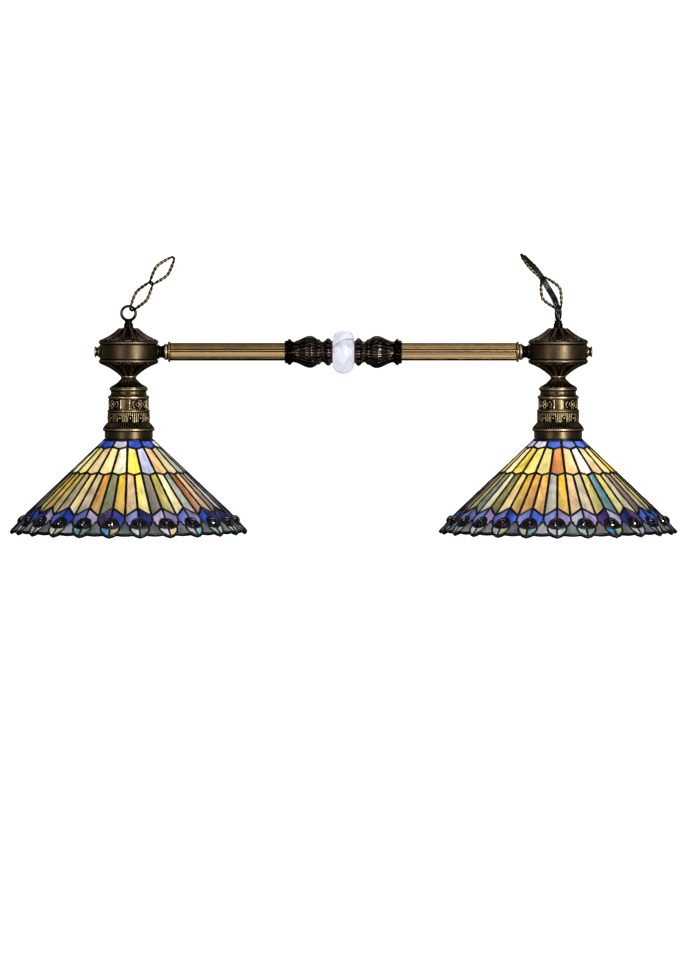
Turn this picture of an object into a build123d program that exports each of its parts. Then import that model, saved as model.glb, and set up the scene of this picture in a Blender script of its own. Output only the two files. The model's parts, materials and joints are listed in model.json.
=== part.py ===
"""Two-light pool table lamp: a brass bar carries two stained glass cone shades and hangs on two chains.

Units are millimetres. +Z is up, X runs along the bar, and -Y is the front.
The origin is on the plane of the shades' rims, straight below the middle of the bar.
A column is everything on one vertical lamp axis. Column pieces and bar pieces are drawn with the
bar's axis at z = 0, and are then placed at the bar's height.
"""

import os
from math import cos, degrees, hypot, radians, sin

from build123d import *

os.makedirs("parts", exist_ok=True)

# --- driving dimensions -------------------------------------------------------------------------
column_x = 358.5  # middle of the bar to each lamp axis
bar_height = 302.4  # rim plane to the bar's axis
running_gap = 0.05  # radial gap of anything that turns or slides in a bore
seat_gap = 0.1  # gap between faces that rest on each other

# Threaded lamp pipe, 1/8 inch nominal
pipe_r = 4.85
pipe_bore_r = 3.2
pipe_hole_r = pipe_r + running_gap
nut_flats = 15.0
nut_thickness = 4.0

# Drum and its covers
drum_r = 48.4
drum_wall = 3.6
drum_half_height = 17.0
drum_bead_r = 1.6
cover_wall = 2.2
cover_rim_r = 49.0
top_cover_height = 20.9
top_cover_crown_r = 16.0
bottom_cover_height = 22.7
bottom_cover_crown_r = 12.6

# Neck bell and gallery, on one lamp axis
bell_top_z = -drum_half_height - bottom_cover_height - 2 * seat_gap
bell_bottom_z = -60.8
bell_bottom_r = 31.0
bell_wall = 2.2
gallery_top_z = bell_bottom_z - seat_gap
gallery_bottom_z = -144.0
gallery_wall = 2.6
gallery_outline = [
    (32.0, gallery_top_z),
    (32.0, -64.2),
    (30.2, -65.4),
    (30.6, -72.4),
    (34.4, -74.2),
    (34.4, -78.0),
    (32.8, -79.0),
    (32.8, -95.8),
    (35.7, -97.0),
    (35.7, -100.2),
    (34.4, -101.2),
    (34.4, -117.0),
    (42.0, -126.2),
    (43.2, -127.6),
    (43.2, -131.4),
    (40.2, -133.0),
    (40.2, gallery_bottom_z),
]
panel_count = 4
panel_width = 33.0  # measured round the band
panel_height = 12.0
panel_depth = 0.9
arcade_ball_count = 12
arcade_ball_r = 2.0
left_gallery_turn = -53.5
right_gallery_turn = -45.5

# Hanging loop
loop_base_z = drum_half_height + top_cover_height + 2 * seat_gap
loop_stem_height = 14.3
loop_ring_z = 64.3
loop_ring_r = 11.75
loop_wire_r = 2.45

# Chain links
link_wire_r = 1.8
link_length = 62.0
link_width = 38.0
link_end_r = 6.6  # bend radius of the wire's centreline at each end
link_end_turn = 60.0  # degrees of bend on each side of an end, before the sides open out
link_reach = link_length / 2 - link_wire_r  # middle of the link to the wire's centreline at its end
link_contact = 2 * link_wire_r + seat_gap
left_ring_play = 6.5  # loop centre to the lower link's end wire, clear of the ring on both sides
left_lower_tilt = 37.0
left_upper_tilt = 41.0
left_link_roll = 50.0
right_ring_turn = 70.0
right_lower_tilt = 30.0
right_upper_tilt = 43.0
right_ring_contact = loop_wire_r + link_wire_r + seat_gap

# Bar, measured outward from its middle
glass_ring_r = 37.0
glass_ring_half_width = 18.8
leaf_inner_x = glass_ring_half_width + seat_gap
leaf_outer_x = 96.3
tube_outer_x = 289.0
tube_r = 15.0
tube_bore_r = 12.4
tube_flat_r = 14.3  # bar's axis to each wide flat face
tube_flat_count = 6
tube_groove_r = 0.9
tube_groove_angle = 21.0  # middle of a flat to the groove on each side of it
end_ring_r = 17.4
end_ring_length = 3.4
spool_outer_x = column_x - drum_r - seat_gap
arm_pipe_half = column_x - 37.0
finial_length = 8.4
finial_r = 9.2

# Shade profile, outer face of the solder lattice: a wide cone, then a steeper border
shade_top = (40.0, -146.2)
shade_shoulder = (168.5, -267.8)
shade_rim = (200.4, -bar_height)
came_thickness = 4.4
came_width = 3.4
glass_thickness = 2.8
glass_depth = 0.8  # lattice face to glass face
glass_gap = 0.12
prism_height = 2.5  # a tile's cutting block stands this far out of the lattice's face
prism_depth = came_thickness + 1.4
sector_count = 12  # the lattice repeats every two eyes
eye_half_angle = 7.5
right_shade_turn = 5.0

# Shade rows: slant distance from the top, at the upper corners and at the points of the zigzags
crown_row_slant = (15.4, 20.9)
upper_row_slant = (76.3, 81.8)
apex_slant = 158.3
crown_top_slant = 1.0

# One peacock eye: distance across from its middle, and slant distance down from its tip
eye_side_down = 33.5
eye_joint = (15.2, 41.0)
bezel_top_down = 22.6
bezel_via = (11.0, 27.2)
drop_inner_via = (8.0, 43.6)
drop_inner_down = 45.8
drop_outer_via = (14.0, 51.0)
drop_tip_down = 64.0
filler_top_down = 34.8
filler_side_via = (14.6, 49.0)
filler_cusp = (10.2, 57.4)
filler_bottom_down = 58.8
jewel_down = 35.7
jewel_r = 8.2
jewel_height = 6.5

# Shade cap and its ring nut
cap_r = 39.4
cap_thickness = 2.0
cap_top_z = gallery_bottom_z - seat_gap
ring_nut_r = 24.0
ring_nut_height = 5.0

# Socket, inside the gallery, and bulb
socket_r = 17.6
socket_wall = 1.0
socket_cap_z = -84.0
socket_cap_height = 18.0
socket_bottom_z = -151.0
insulator_height = 9.0
screw_shell_r = 14.4
screw_shell_wall = 0.6
screw_shell_length = 28.0
bulb_base_r = 13.2
bulb_base_length = 25.0
bulb_length = 107.0
bulb_r = 30.0
bulb_neck_r = 12.6
bulb_wall = 0.8

# Wires
wire_r = 1.1
wire_spread = 1.5
cord_wire_r = 1.35
wire_nut_place = (25.0, 14.0, 1.0)
wire_nut_height = 15.0
wire_nut_r = 5.4

left_place = Location((-column_x, 0, bar_height))
right_place = Location((column_x, 0, bar_height))
right_facing_left = Location((column_x, 0, bar_height), (0, 0, 180))
bar_place = Location((0, 0, bar_height))
bar_left_half = Location((0, 0, bar_height), (0, 0, 180))


# --- helpers ------------------------------------------------------------------------------------
def save(part, name):
    """Labels a finished piece and writes it as one STEP file."""
    part.label = name
    export_step(part, f"parts/{name}.step")


def place(part, name, *locations):
    """Writes one copy of a piece at each location, all as one node."""
    with BuildPart() as placed:
        with Locations(*locations):
            add(part)
    save(placed.part, name)


def place_pair(part, name):
    """Writes a column piece as two nodes, left_NAME and right_NAME."""
    place(part, f"left_{name}", left_place)
    place(part, f"right_{name}", right_place)


def turned(outline, arc=360):
    """Solid of revolution about Z from a closed outline of (radius, z) corners."""
    with BuildPart() as body:
        with BuildSketch(Plane.XZ):
            Polygon(*outline, align=None)
        revolve(axis=Axis.Z, revolution_arc=arc)
    return body.part


def tube(outer_r, inner_r, bottom_z, top_z):
    """Plain round tube on the Z axis."""
    with BuildPart() as body:
        with BuildSketch(Plane.XY.offset(bottom_z)):
            Circle(outer_r)
            Circle(inner_r, mode=Mode.SUBTRACT)
        extrude(amount=top_z - bottom_z)
    return body.part


# --- drum and covers ----------------------------------------------------------------------------
def build_drum():
    """Open cast ring with a bead at each edge, and a hole through each side on the bar's axis."""
    bead_z = drum_half_height - drum_bead_r
    with BuildPart() as drum:
        with BuildSketch(Plane.XZ):
            with Locations((drum_r - drum_wall / 2, 0)):
                Rectangle(drum_wall, 2 * drum_half_height)
            with Locations((drum_r, bead_z), (drum_r, -bead_z)):
                Circle(drum_bead_r)
        revolve(axis=Axis.Z)
        with Locations(Plane.YZ):
            Cylinder(pipe_hole_r, 3 * drum_r, mode=Mode.SUBTRACT)
    place_pair(drum.part, "drum")


def cover_shell(height, crown_r):
    """Thin ogee cover, drawn with its rim on the drum's top face, with a hole for the lamp pipe."""
    rim_z = drum_half_height + seat_gap
    crown_z = rim_z + height
    middle_r = (cover_rim_r + crown_r) / 2
    middle_z = rim_z + 0.42 * height
    with BuildPart() as cover:
        with BuildSketch(Plane.XZ):
            with BuildLine():
                top = Spline(
                    (cover_rim_r, rim_z + 1.0),
                    (middle_r, middle_z + cover_wall),
                    (crown_r, crown_z),
                    tangents=[(-1.0, 0.5), (-1.0, 0.35)],
                )
                Polyline(
                    top @ 1,
                    (pipe_hole_r, crown_z),
                    (pipe_hole_r, crown_z - cover_wall),
                    (crown_r - 1, crown_z - cover_wall),
                )
                under = Spline(
                    (crown_r - 1, crown_z - cover_wall),
                    (middle_r - 1, middle_z),
                    (cover_rim_r - 4, rim_z),
                    tangents=[(1.0, -0.35), (1.0, -0.5)],
                )
                Polyline(under @ 1, (cover_rim_r, rim_z), top @ 0)
            make_face()
        revolve(axis=Axis.Z)
    return cover.part


def build_covers():
    """The top cover stands upright. The bottom cover is a smaller-necked one, turned over."""
    place_pair(cover_shell(top_cover_height, top_cover_crown_r), "top_cover")
    with BuildPart() as bottom_cover:
        with Locations(Location((0, 0, 0), (180, 0, 0))):
            add(cover_shell(bottom_cover_height, bottom_cover_crown_r))
    place_pair(bottom_cover.part, "bottom_cover")


# --- hanging loops ------------------------------------------------------------------------------
def loop_part():
    """Cast eye on a hollow stepped stem."""
    stem_top = loop_base_z + loop_stem_height
    thread_top = loop_base_z + 9.6
    with BuildPart() as loop:
        with BuildSketch(Plane.XZ):
            Polygon(
                (pipe_hole_r, loop_base_z),
                (8.8, loop_base_z),
                (8.8, loop_base_z + 2.6),
                (7.7, loop_base_z + 3.6),
                (7.7, loop_base_z + 8.6),
                (6.3, loop_base_z + 10.2),
                (6.3, stem_top),
                (pipe_bore_r, stem_top),
                (pipe_bore_r, thread_top),
                (pipe_hole_r, thread_top),
                align=None,
            )
        revolve(axis=Axis.Z)
        with Locations(Location((0, 0, loop_ring_z), (90, 0, 0))):
            Torus(loop_ring_r, loop_wire_r)
        with Locations((0, 0, loop_ring_z - loop_ring_r)):
            Cylinder(pipe_bore_r, 3 * loop_wire_r, mode=Mode.SUBTRACT)
    return loop.part


def build_loops():
    """The left eye faces the front. The right eye is swivelled part of a turn on its nipple."""
    loop = loop_part()
    place(loop, "left_loop", left_place)
    place(loop, "right_loop", right_place * Location((0, 0, 0), (0, 0, right_ring_turn)))


# --- chain --------------------------------------------------------------------------------------
def link_part():
    """Long oval chain link of round wire, in the XZ plane, with its long axis on Z."""
    half_width = link_width / 2 - link_wire_r
    end_centre = link_reach - link_end_r
    opening = radians(90 - link_end_turn)
    end_x = link_end_r * cos(opening)
    end_z = end_centre + link_end_r * sin(opening)
    with BuildPart() as link:
        with BuildLine(Plane.XZ) as half:
            CenterArc((0, end_centre), link_end_r, 90, -link_end_turn)
            Spline(
                (end_x, end_z),
                (half_width, 0),
                (end_x, -end_z),
                tangents=[(sin(opening), -cos(opening)), (-sin(opening), -cos(opening))],
            )
            CenterArc((0, -end_centre), link_end_r, link_end_turn - 90, -link_end_turn)
        with BuildSketch(Plane((0, 0, link_reach), z_dir=(1, 0, 0))):
            Circle(link_wire_r)
        sweep(path=half.line)
        mirror(about=Plane.YZ)
    return link.part


def link_plane(end, direction, width):
    """Plane of a link: its lower end wire is at end, and width is the way its loop opens."""
    return Plane(origin=end + direction * link_reach, x_dir=width, z_dir=direction)


def unit(angle, out):
    """Unit vector that leans from straight up towards the unit vector out."""
    return Vector(0, 0, 1) * cos(radians(angle)) + out * sin(radians(angle))


def chain_planes():
    """Planes of the four links, each hooked through the eye or the link below it."""
    inward = Vector(1, 0, 0)
    front = Vector(0, -1, 0)
    roll = radians(left_link_roll)
    left_ring = Vector(-column_x, 0, bar_height + loop_ring_z)
    lower = unit(left_lower_tilt, inward)
    upper = unit(left_upper_tilt, inward)
    lower_width = unit(left_lower_tilt + 90, inward) * cos(roll) + front * sin(roll)
    upper_width = unit(left_upper_tilt + 90, inward) * cos(roll) - front * sin(roll)
    left_end = left_ring + lower * left_ring_play
    left_joint = left_end + lower * (2 * link_reach - link_contact)

    turn = radians(right_ring_turn)
    ring_plane = Vector(cos(turn), sin(turn), 0)
    across_ring = Vector(-sin(turn), cos(turn), 0)
    ring_top = Vector(column_x, 0, bar_height + loop_ring_z + loop_ring_r)
    right_lower = unit(right_lower_tilt, across_ring)
    right_upper = unit(right_upper_tilt, across_ring)
    right_end = ring_top - right_lower * right_ring_contact
    right_joint = right_end + right_lower * (2 * link_reach - link_contact)
    return {
        "left_lower_link": link_plane(left_end, lower, lower_width),
        "left_upper_link": link_plane(left_joint, upper, upper_width),
        "right_lower_link": link_plane(right_end, right_lower, ring_plane.cross(right_lower)),
        "right_upper_link": link_plane(right_joint, right_upper, ring_plane),
    }


def build_chain():
    """Two interlocked links on each loop."""
    link = link_part()
    for name, plane in chain_planes().items():
        place(link, name, plane.location)


# --- pipes, nuts and hickeys --------------------------------------------------------------------
top_nut_z = drum_half_height + top_cover_height - cover_wall - nut_thickness
bottom_nut_z = -drum_half_height - bottom_cover_height + cover_wall
gallery_nut_z = gallery_outline[1][1] - seat_gap - nut_thickness
arm_nut_x = drum_r - drum_wall - nut_thickness - 1.0  # clear of the drum's round inner wall


def hickey_part():
    """Stirrup inside the drum: joins the top nipple to the stem pipe, with open sides for the wires."""
    hub_r, hub_length, hub_z = 8.2, 8.0, 12.0
    strap_width, strap_thickness = 9.0, 3.2
    with BuildPart() as hickey:
        for base in (hub_z, -hub_z - hub_length):
            with BuildSketch(Plane.XY.offset(base)):
                Circle(hub_r)
                Circle(pipe_hole_r, mode=Mode.SUBTRACT)
            extrude(amount=hub_length)
        with Locations((0, hub_r, 0), (0, -hub_r, 0)):
            Box(strap_width, strap_thickness, 2 * hub_z + hub_length)
    return hickey.part


def nut_part():
    """Hexagon locknut with its lower face on z = 0."""
    with BuildPart() as nut:
        with BuildSketch():
            RegularPolygon(nut_flats / 2, 6, major_radius=False)
            Circle(pipe_hole_r, mode=Mode.SUBTRACT)
        extrude(amount=nut_thickness)
        chamfer(nut.faces().sort_by(Axis.Z)[-1].outer_wire().edges(), 0.5)
    return nut.part


def build_pipes():
    """Everything that clamps a column together, and the long pipe inside the bar."""
    pair = (left_place, right_place)
    place(tube(pipe_r, pipe_bore_r, drum_half_height - 4, loop_base_z + 9), "top_nipples", *pair)
    place(tube(pipe_r, pipe_bore_r, socket_cap_z - 5, -drum_half_height + 4), "stem_pipes", *pair)
    place(hickey_part(), "wire_hickeys", *pair)
    nut_places = []
    for column in (left_place, right_facing_left):
        for z in (top_nut_z, bottom_nut_z, gallery_nut_z):
            nut_places.append(column * Location((0, 0, z)))
        nut_places.append(column * Location((arm_nut_x, 0, 0), (0, 90, 0)))
        nut_places.append(column * Location((-arm_nut_x, 0, 0), (0, -90, 0)))
    place(nut_part(), "locknuts", *nut_places)
    with BuildPart() as arm_pipe:
        with BuildSketch(Plane.YZ.offset(-arm_pipe_half)):
            Circle(pipe_r)
            Circle(pipe_bore_r, mode=Mode.SUBTRACT)
        extrude(amount=2 * arm_pipe_half)
    place(arm_pipe.part, "arm_pipe", bar_place)


# --- neck bell and gallery ----------------------------------------------------------------------
def build_neck_bell():
    """Flared bell between the bottom cover and the gallery, with a bead at its top."""
    crown_r = bottom_cover_crown_r
    bead_z = bell_top_z - 2.0
    with BuildPart() as bell:
        with BuildSketch(Plane.XZ):
            with BuildLine():
                outer = Spline(
                    (crown_r, bead_z),
                    (18.6, -52.5),
                    (bell_bottom_r, bell_bottom_z + 1.2),
                    tangents=[(0.15, -1), (1, -0.42)],
                )
                Polyline(outer @ 1, (bell_bottom_r, bell_bottom_z), (26.5, bell_bottom_z))
                inner = Spline(
                    (26.5, bell_bottom_z),
                    (15.4, -54.4),
                    (crown_r - bell_wall, bead_z - 2),
                    tangents=[(-1, 0.42), (-0.15, 1)],
                )
                Polyline(
                    inner @ 1,
                    (pipe_hole_r, bead_z - 2),
                    (pipe_hole_r, bell_top_z),
                    (crown_r, bell_top_z),
                    (crown_r, bead_z),
                )
            make_face()
        revolve(axis=Axis.Z)
    place_pair(bell.part, "neck_bell")


def gallery_part():
    """Stepped cast shade holder: a band of recessed panels above an arcade of small balls."""
    inner = [(r - gallery_wall, z) for r, z in reversed(gallery_outline[1:])]
    floor_z = inner[-1][1]
    panel_r, panel_top_z = gallery_outline[7][0], gallery_outline[6][1]
    arcade_r, arcade_top_z = gallery_outline[11][0], gallery_outline[10][1]
    panel_z = (panel_top_z + gallery_outline[7][1]) / 2
    panel_arc = degrees(panel_width / panel_r)
    panel = turned(
        [
            (panel_r - panel_depth, panel_z - panel_height / 2),
            (panel_r + panel_depth, panel_z - panel_height / 2),
            (panel_r + panel_depth, panel_z + panel_height / 2),
            (panel_r - panel_depth, panel_z + panel_height / 2),
        ],
        panel_arc,
    )
    arcade_z = (arcade_top_z + gallery_outline[11][1]) / 2
    with BuildPart() as gallery:
        with BuildSketch(Plane.XZ):
            Polygon(
                (pipe_hole_r, gallery_top_z),
                *gallery_outline,
                *inner,
                (pipe_hole_r, floor_z),
                align=None,
            )
        revolve(axis=Axis.Z)
        with PolarLocations(0, panel_count, -panel_arc / 2):
            add(panel, mode=Mode.SUBTRACT)
        with Locations((0, 0, arcade_z)):
            with PolarLocations(arcade_r, arcade_ball_count):
                Sphere(arcade_ball_r)
    return gallery.part


def build_gallery():
    """The galleries are screwed up by hand, so their panels point different ways."""
    gallery = gallery_part()
    place(gallery, "left_gallery", left_place * Location((0, 0, 0), (0, 0, left_gallery_turn)))
    place(gallery, "right_gallery", right_place * Location((0, 0, 0), (0, 0, right_gallery_turn)))


# --- bar ----------------------------------------------------------------------------------------
def turned_on_bar(outline):
    """Solid of revolution about the bar's axis from a closed outline of (x, radius) corners."""
    with BuildPart() as body:
        with BuildSketch(Plane.XZ):
            Polygon(*outline, align=None)
        revolve(axis=Axis.X)
    return body.part


def place_on_bar(part, name):
    """Writes a piece of the right half as two nodes, left_NAME and right_NAME."""
    place(part, f"right_{name}", bar_place)
    place(part, f"left_{name}", bar_left_half)


def build_glass_ring():
    """Thick round glass ring in the middle of the bar."""
    with BuildPart() as glass_ring:
        with BuildSketch(Plane.XZ):
            with Locations((0, glass_ring_r - glass_ring_half_width)):
                Circle(glass_ring_half_width)
            Rectangle(4 * glass_ring_half_width, 2 * pipe_hole_r, mode=Mode.SUBTRACT)
        revolve(axis=Axis.X)
    place(glass_ring.part, "centre_glass_ring", bar_place)


def build_leaf_castings():
    """Leafed castings either side of the glass ring: bead, waist, ring, bulb, pointed ring, ferrule."""
    with BuildPart() as leaf_casting:
        with BuildSketch(Plane.XZ):
            with BuildLine():
                Polyline((leaf_inner_x, pipe_hole_r), (leaf_inner_x, 16.5), (22.0, 18.0))
                ThreePointArc((22.0, 18.0), (25.2, 21.4), (28.6, 18.4))
                ThreePointArc((28.6, 18.4), (35.3, 15.0), (40.0, 18.8))
                Polyline((40.0, 18.8), (41.5, 19.7), (43.4, 19.2))
                Spline(
                    (43.4, 19.2),
                    (55.4, 26.4),
                    (72.0, 19.4),
                    (84.4, 16.2),
                    tangents=[(1, 1.2), (1, 0.15)],
                )
                Polyline(
                    (84.4, 16.2),
                    (89.7, 21.9),
                    (92.0, 18.2),
                    (leaf_outer_x, 18.2),
                    (leaf_outer_x, pipe_hole_r),
                    (leaf_inner_x, pipe_hole_r),
                )
            make_face()
        revolve(axis=Axis.X)
    place_on_bar(leaf_casting.part, "leaf_casting")


def build_reeded_tubes():
    """Brass tube with six wide flat faces, a narrow reed between each two, and a groove beside each reed."""
    with BuildPart() as reeded_tube:
        with BuildSketch(Plane.YZ.offset(leaf_outer_x + seat_gap)):
            RegularPolygon(tube_flat_r, tube_flat_count, major_radius=False, rotation=180 / tube_flat_count)
            Circle(tube_r, mode=Mode.INTERSECT)
            for side in (-1, 1):
                with PolarLocations(tube_r, tube_flat_count, side * tube_groove_angle):
                    Circle(tube_groove_r, mode=Mode.SUBTRACT)
            Circle(tube_bore_r, mode=Mode.SUBTRACT)
        extrude(amount=tube_outer_x - leaf_outer_x - seat_gap)
    place_on_bar(reeded_tube.part, "reeded_tube")


def build_bar_ends():
    """Ring and spool between each tube and its drum, and the cap nut on the drum's far side."""
    ring_x = tube_outer_x + seat_gap
    ring_end_x = ring_x + end_ring_length
    end_ring = turned_on_bar(
        [
            (ring_x, pipe_hole_r),
            (ring_x, end_ring_r - 1),
            (ring_x + 0.8, end_ring_r),
            (ring_end_x - 0.8, end_ring_r),
            (ring_end_x, end_ring_r - 1),
            (ring_end_x, pipe_hole_r),
        ]
    )
    place(end_ring, "tube_end_rings", bar_place, bar_left_half)
    spool_x = ring_end_x + seat_gap
    spool = turned_on_bar(
        [
            (spool_x, pipe_hole_r),
            (spool_x, 12.4),
            (296.4, 13.7),
            (299.0, 12.2),
            (301.6, 10.2),
            (305.0, 9.9),
            (307.6, 11.0),
            (309.2, 12.9),
            (spool_outer_x, 12.9),
            (spool_outer_x, pipe_hole_r),
        ]
    )
    place(spool, "arm_spools", bar_place, bar_left_half)
    finial_x = column_x + drum_r + seat_gap
    finial_end_x = finial_x + finial_length
    finial = turned_on_bar(
        [
            (finial_x - 12, 0),
            (finial_x - 12, pipe_r),
            (finial_x, pipe_r),
            (finial_x, finial_r),
            (finial_x + 2.0, finial_r),
            (finial_x + 3.6, finial_r - 2.2),
            (finial_end_x - 3.2, finial_r - 2.2),
            (finial_end_x - 1.8, finial_r),
            (finial_end_x - 0.6, finial_r),
            (finial_end_x, finial_r - 1.2),
            (finial_end_x, 0),
        ]
    )
    place(finial, "end_finials", bar_place, bar_left_half)


# --- shade geometry -----------------------------------------------------------------------------
cone_length = hypot(shade_shoulder[0] - shade_top[0], shade_shoulder[1] - shade_top[1])
border_length = hypot(shade_rim[0] - shade_shoulder[0], shade_rim[1] - shade_shoulder[1])
cone_slope = (
    (shade_shoulder[0] - shade_top[0]) / cone_length,
    (shade_shoulder[1] - shade_top[1]) / cone_length,
)
border_slope = (
    (shade_rim[0] - shade_shoulder[0]) / border_length,
    (shade_rim[1] - shade_shoulder[1]) / border_length,
)
sector_angle = 360 / sector_count
eye_count = 2 * sector_count


def profile_point(slant):
    """Radius and z on the shade's outer face, at a slant distance from its top."""
    if slant <= cone_length:
        start, slope, run = shade_top, cone_slope, slant
    else:
        start, slope, run = shade_shoulder, border_slope, slant - cone_length
    return (start[0] + slope[0] * run, start[1] + slope[1] * run)


def surface_point(slant, angle):
    """Point on the shade's outer face, at a slant distance from its top and an angle about Z."""
    r, z = profile_point(slant)
    return Vector(r * cos(radians(angle)), r * sin(radians(angle)), z)


def tile_plane(slant, angle):
    """Tangent plane of the outer face: local X runs round the shade and local Y runs up it."""
    slope = cone_slope if slant <= cone_length else border_slope
    around = Vector(-sin(radians(angle)), cos(radians(angle)), 0)
    outward = Vector(cos(radians(angle)), sin(radians(angle)), 0)
    up_slope = outward * -slope[0] + Vector(0, 0, -slope[1])
    return Plane(origin=surface_point(slant, angle), x_dir=around, z_dir=around.cross(up_slope))


def shade_shell(outer_depth, inner_depth, end_slant, arc=360):
    """Two-cone shell between two depths below the outer face, from the top to a slant distance."""
    corners = []
    for depth, order in ((outer_depth, 1), (inner_depth, -1)):
        end = profile_point(end_slant)
        bend = (cone_slope[1] + border_slope[1]) / 2, (cone_slope[0] + border_slope[0]) / 2
        face = [
            (shade_top[0] + depth * cone_slope[1], shade_top[1] - depth * cone_slope[0]),
            (shade_shoulder[0] + depth * bend[0], shade_shoulder[1] - depth * bend[1]),
            (end[0] + depth * border_slope[1], end[1] - depth * border_slope[0]),
        ]
        corners.extend(face[::order])
    return turned(corners, arc)


def prism(outline, inset):
    """Straight-sided block through the shade from an outline's (plane, corners).
    inset draws every side in."""
    plane, corners = outline
    flat = [plane.to_local_coords(corner) for corner in corners]
    with BuildPart() as block:
        with BuildSketch(plane.offset(-prism_depth)):
            Polygon(*[(corner.X, corner.Y) for corner in flat], align=None)
            offset(amount=-inset, kind=Kind.INTERSECTION)
        extrude(amount=prism_depth + prism_height)
    return block.part


def eye_point(side, spot, centre):
    """Surface point of the eye at an angle: spot is (distance across, slant distance down from its tip)."""
    across, down = spot
    slant = apex_slant + down
    angle = degrees(across / profile_point(slant)[0])
    return surface_point(slant, centre + side * angle)


def eye_plane(angle):
    """Tangent plane of the border at the level of the jewels."""
    return tile_plane(apex_slant + jewel_down, angle)


def crown_tile(half):
    """Outline of a crown tile, two eyes wide, with one point at its foot."""
    foot, tip = crown_row_slant
    corners = [
        surface_point(crown_top_slant, 0),
        surface_point(foot, 0),
        surface_point(tip, half),
        surface_point(foot, 2 * half),
        surface_point(crown_top_slant, 2 * half),
    ]
    return tile_plane(foot / 2, half), corners


def upper_tile(half, flip):
    """Outline of an upper tile. Its head slopes down to one side, and flip chooses which."""
    angles = [2 * half - a if flip else a for a in (0, half / 2, half)]
    head, head_tip = crown_row_slant
    foot, foot_tip = upper_row_slant
    corners = [
        surface_point(head, angles[0]),
        surface_point(foot, angles[0]),
        surface_point(foot_tip, angles[1]),
        surface_point(foot, angles[2]),
        surface_point(head_tip, angles[2]),
    ]
    return tile_plane((head + foot) / 2, angles[1]), corners


def long_tile(start, end):
    """Outline of a long tile from the seam over a low point to the seam over an eye's tip."""
    head, head_tip = upper_row_slant
    corners = [
        surface_point(head, start),
        surface_point(cone_length, start),
        surface_point(apex_slant, end),
        surface_point(head_tip, end),
    ]
    return tile_plane((head + apex_slant) / 2, (start + end) / 2), corners


def petal_tile(side, centre):
    """Outline of the petal on one side of an eye, hollowed round the jewel."""
    seam = centre + side * eye_half_angle
    corners = [
        eye_point(side, (0, 0), centre),
        surface_point(cone_length, seam),
        surface_point(apex_slant + eye_side_down, seam),
        eye_point(side, eye_joint, centre),
        eye_point(side, bezel_via, centre),
        eye_point(side, (0, bezel_top_down), centre),
    ]
    return eye_plane(centre), corners


def drop_tile(side, centre):
    """Outline of one half of the teardrop below the jewel."""
    corners = [
        eye_point(side, (0, drop_inner_down), centre),
        eye_point(side, drop_inner_via, centre),
        eye_point(side, eye_joint, centre),
        eye_point(side, drop_outer_via, centre),
        eye_point(side, (0, drop_tip_down), centre),
    ]
    return eye_plane(centre), corners


def between_eyes(spots, centre):
    """Corners on the two eyes either side of an angle, out along one and back along the other."""
    before = [eye_point(1, spot, centre - eye_half_angle) for spot in spots]
    after = [eye_point(-1, spot, centre + eye_half_angle) for spot in spots]
    return before, after[::-1]


def filler_tile(centre):
    """Outline of the piece between two teardrops."""
    before, after = between_eyes([eye_joint, filler_side_via, filler_cusp], centre)
    top = surface_point(apex_slant + filler_top_down, centre)
    bottom = surface_point(apex_slant + filler_bottom_down, centre)
    return eye_plane(centre), [top, *before, bottom, *after]


def rim_notch(centre):
    """Outline of the open bay in the rim below a filler."""
    before, after = between_eyes([filler_cusp, (0, drop_tip_down), (0, drop_tip_down + 8)], centre)
    bottom = surface_point(apex_slant + filler_bottom_down, centre)
    return eye_plane(centre), [bottom, *before, *after]


# --- shade --------------------------------------------------------------------------------------
def shade_rows():
    """Each row's tile outlines for one repeat, and how many times the repeat goes round."""
    half = sector_angle / 2
    eye = eye_half_angle
    long_tiles = []
    for start, end in ((0, 0.5), (1, 0.5), (1, 1.5), (2, 1.5)):
        long_tiles.append(long_tile(start * half, end * half))
    return {
        "crown_glass": ([crown_tile(half)], sector_count),
        "upper_glass": ([upper_tile(half, False), upper_tile(half, True)], sector_count),
        "long_glass": (long_tiles, sector_count),
        "petal_glass": ([petal_tile(-1, eye), petal_tile(1, eye)], eye_count),
        "border_glass": ([drop_tile(-1, eye), drop_tile(1, eye), filler_tile(0)], eye_count),
    }


def cut_from(shell, outline, inset):
    """The piece of a shell inside an outline."""
    with BuildPart() as piece:
        add(prism(outline, inset))
        add(shell, mode=Mode.INTERSECT)
    return piece.part


def glass_row(outlines, count, glass_shell):
    """One row of glass: each outline cut from the shell, repeated round the shade."""
    with BuildPart() as row:
        for outline in outlines:
            tile = cut_from(glass_shell, outline, came_width / 2 + glass_gap)
            with PolarLocations(0, count):
                add(tile)
    return row.part


def jewels_part():
    """Domed round jewels in the middles of the eyes, set through the lattice."""
    dome_r = (jewel_height**2 + jewel_r**2) / (2 * jewel_height)
    with BuildPart() as jewel:
        with Locations((0, 0, jewel_height - dome_r)):
            Sphere(dome_r)
        with BuildSketch():
            Circle(jewel_r)
        extrude(amount=jewel_height + 1, mode=Mode.INTERSECT)
        with BuildSketch():
            Circle(jewel_r)
        extrude(amount=-came_thickness + 1)
    with BuildPart() as jewels:
        with PolarLocations(0, eye_count, eye_half_angle):
            with Locations(eye_plane(0)):
                add(jewel.part)
    return jewels.part


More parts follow.
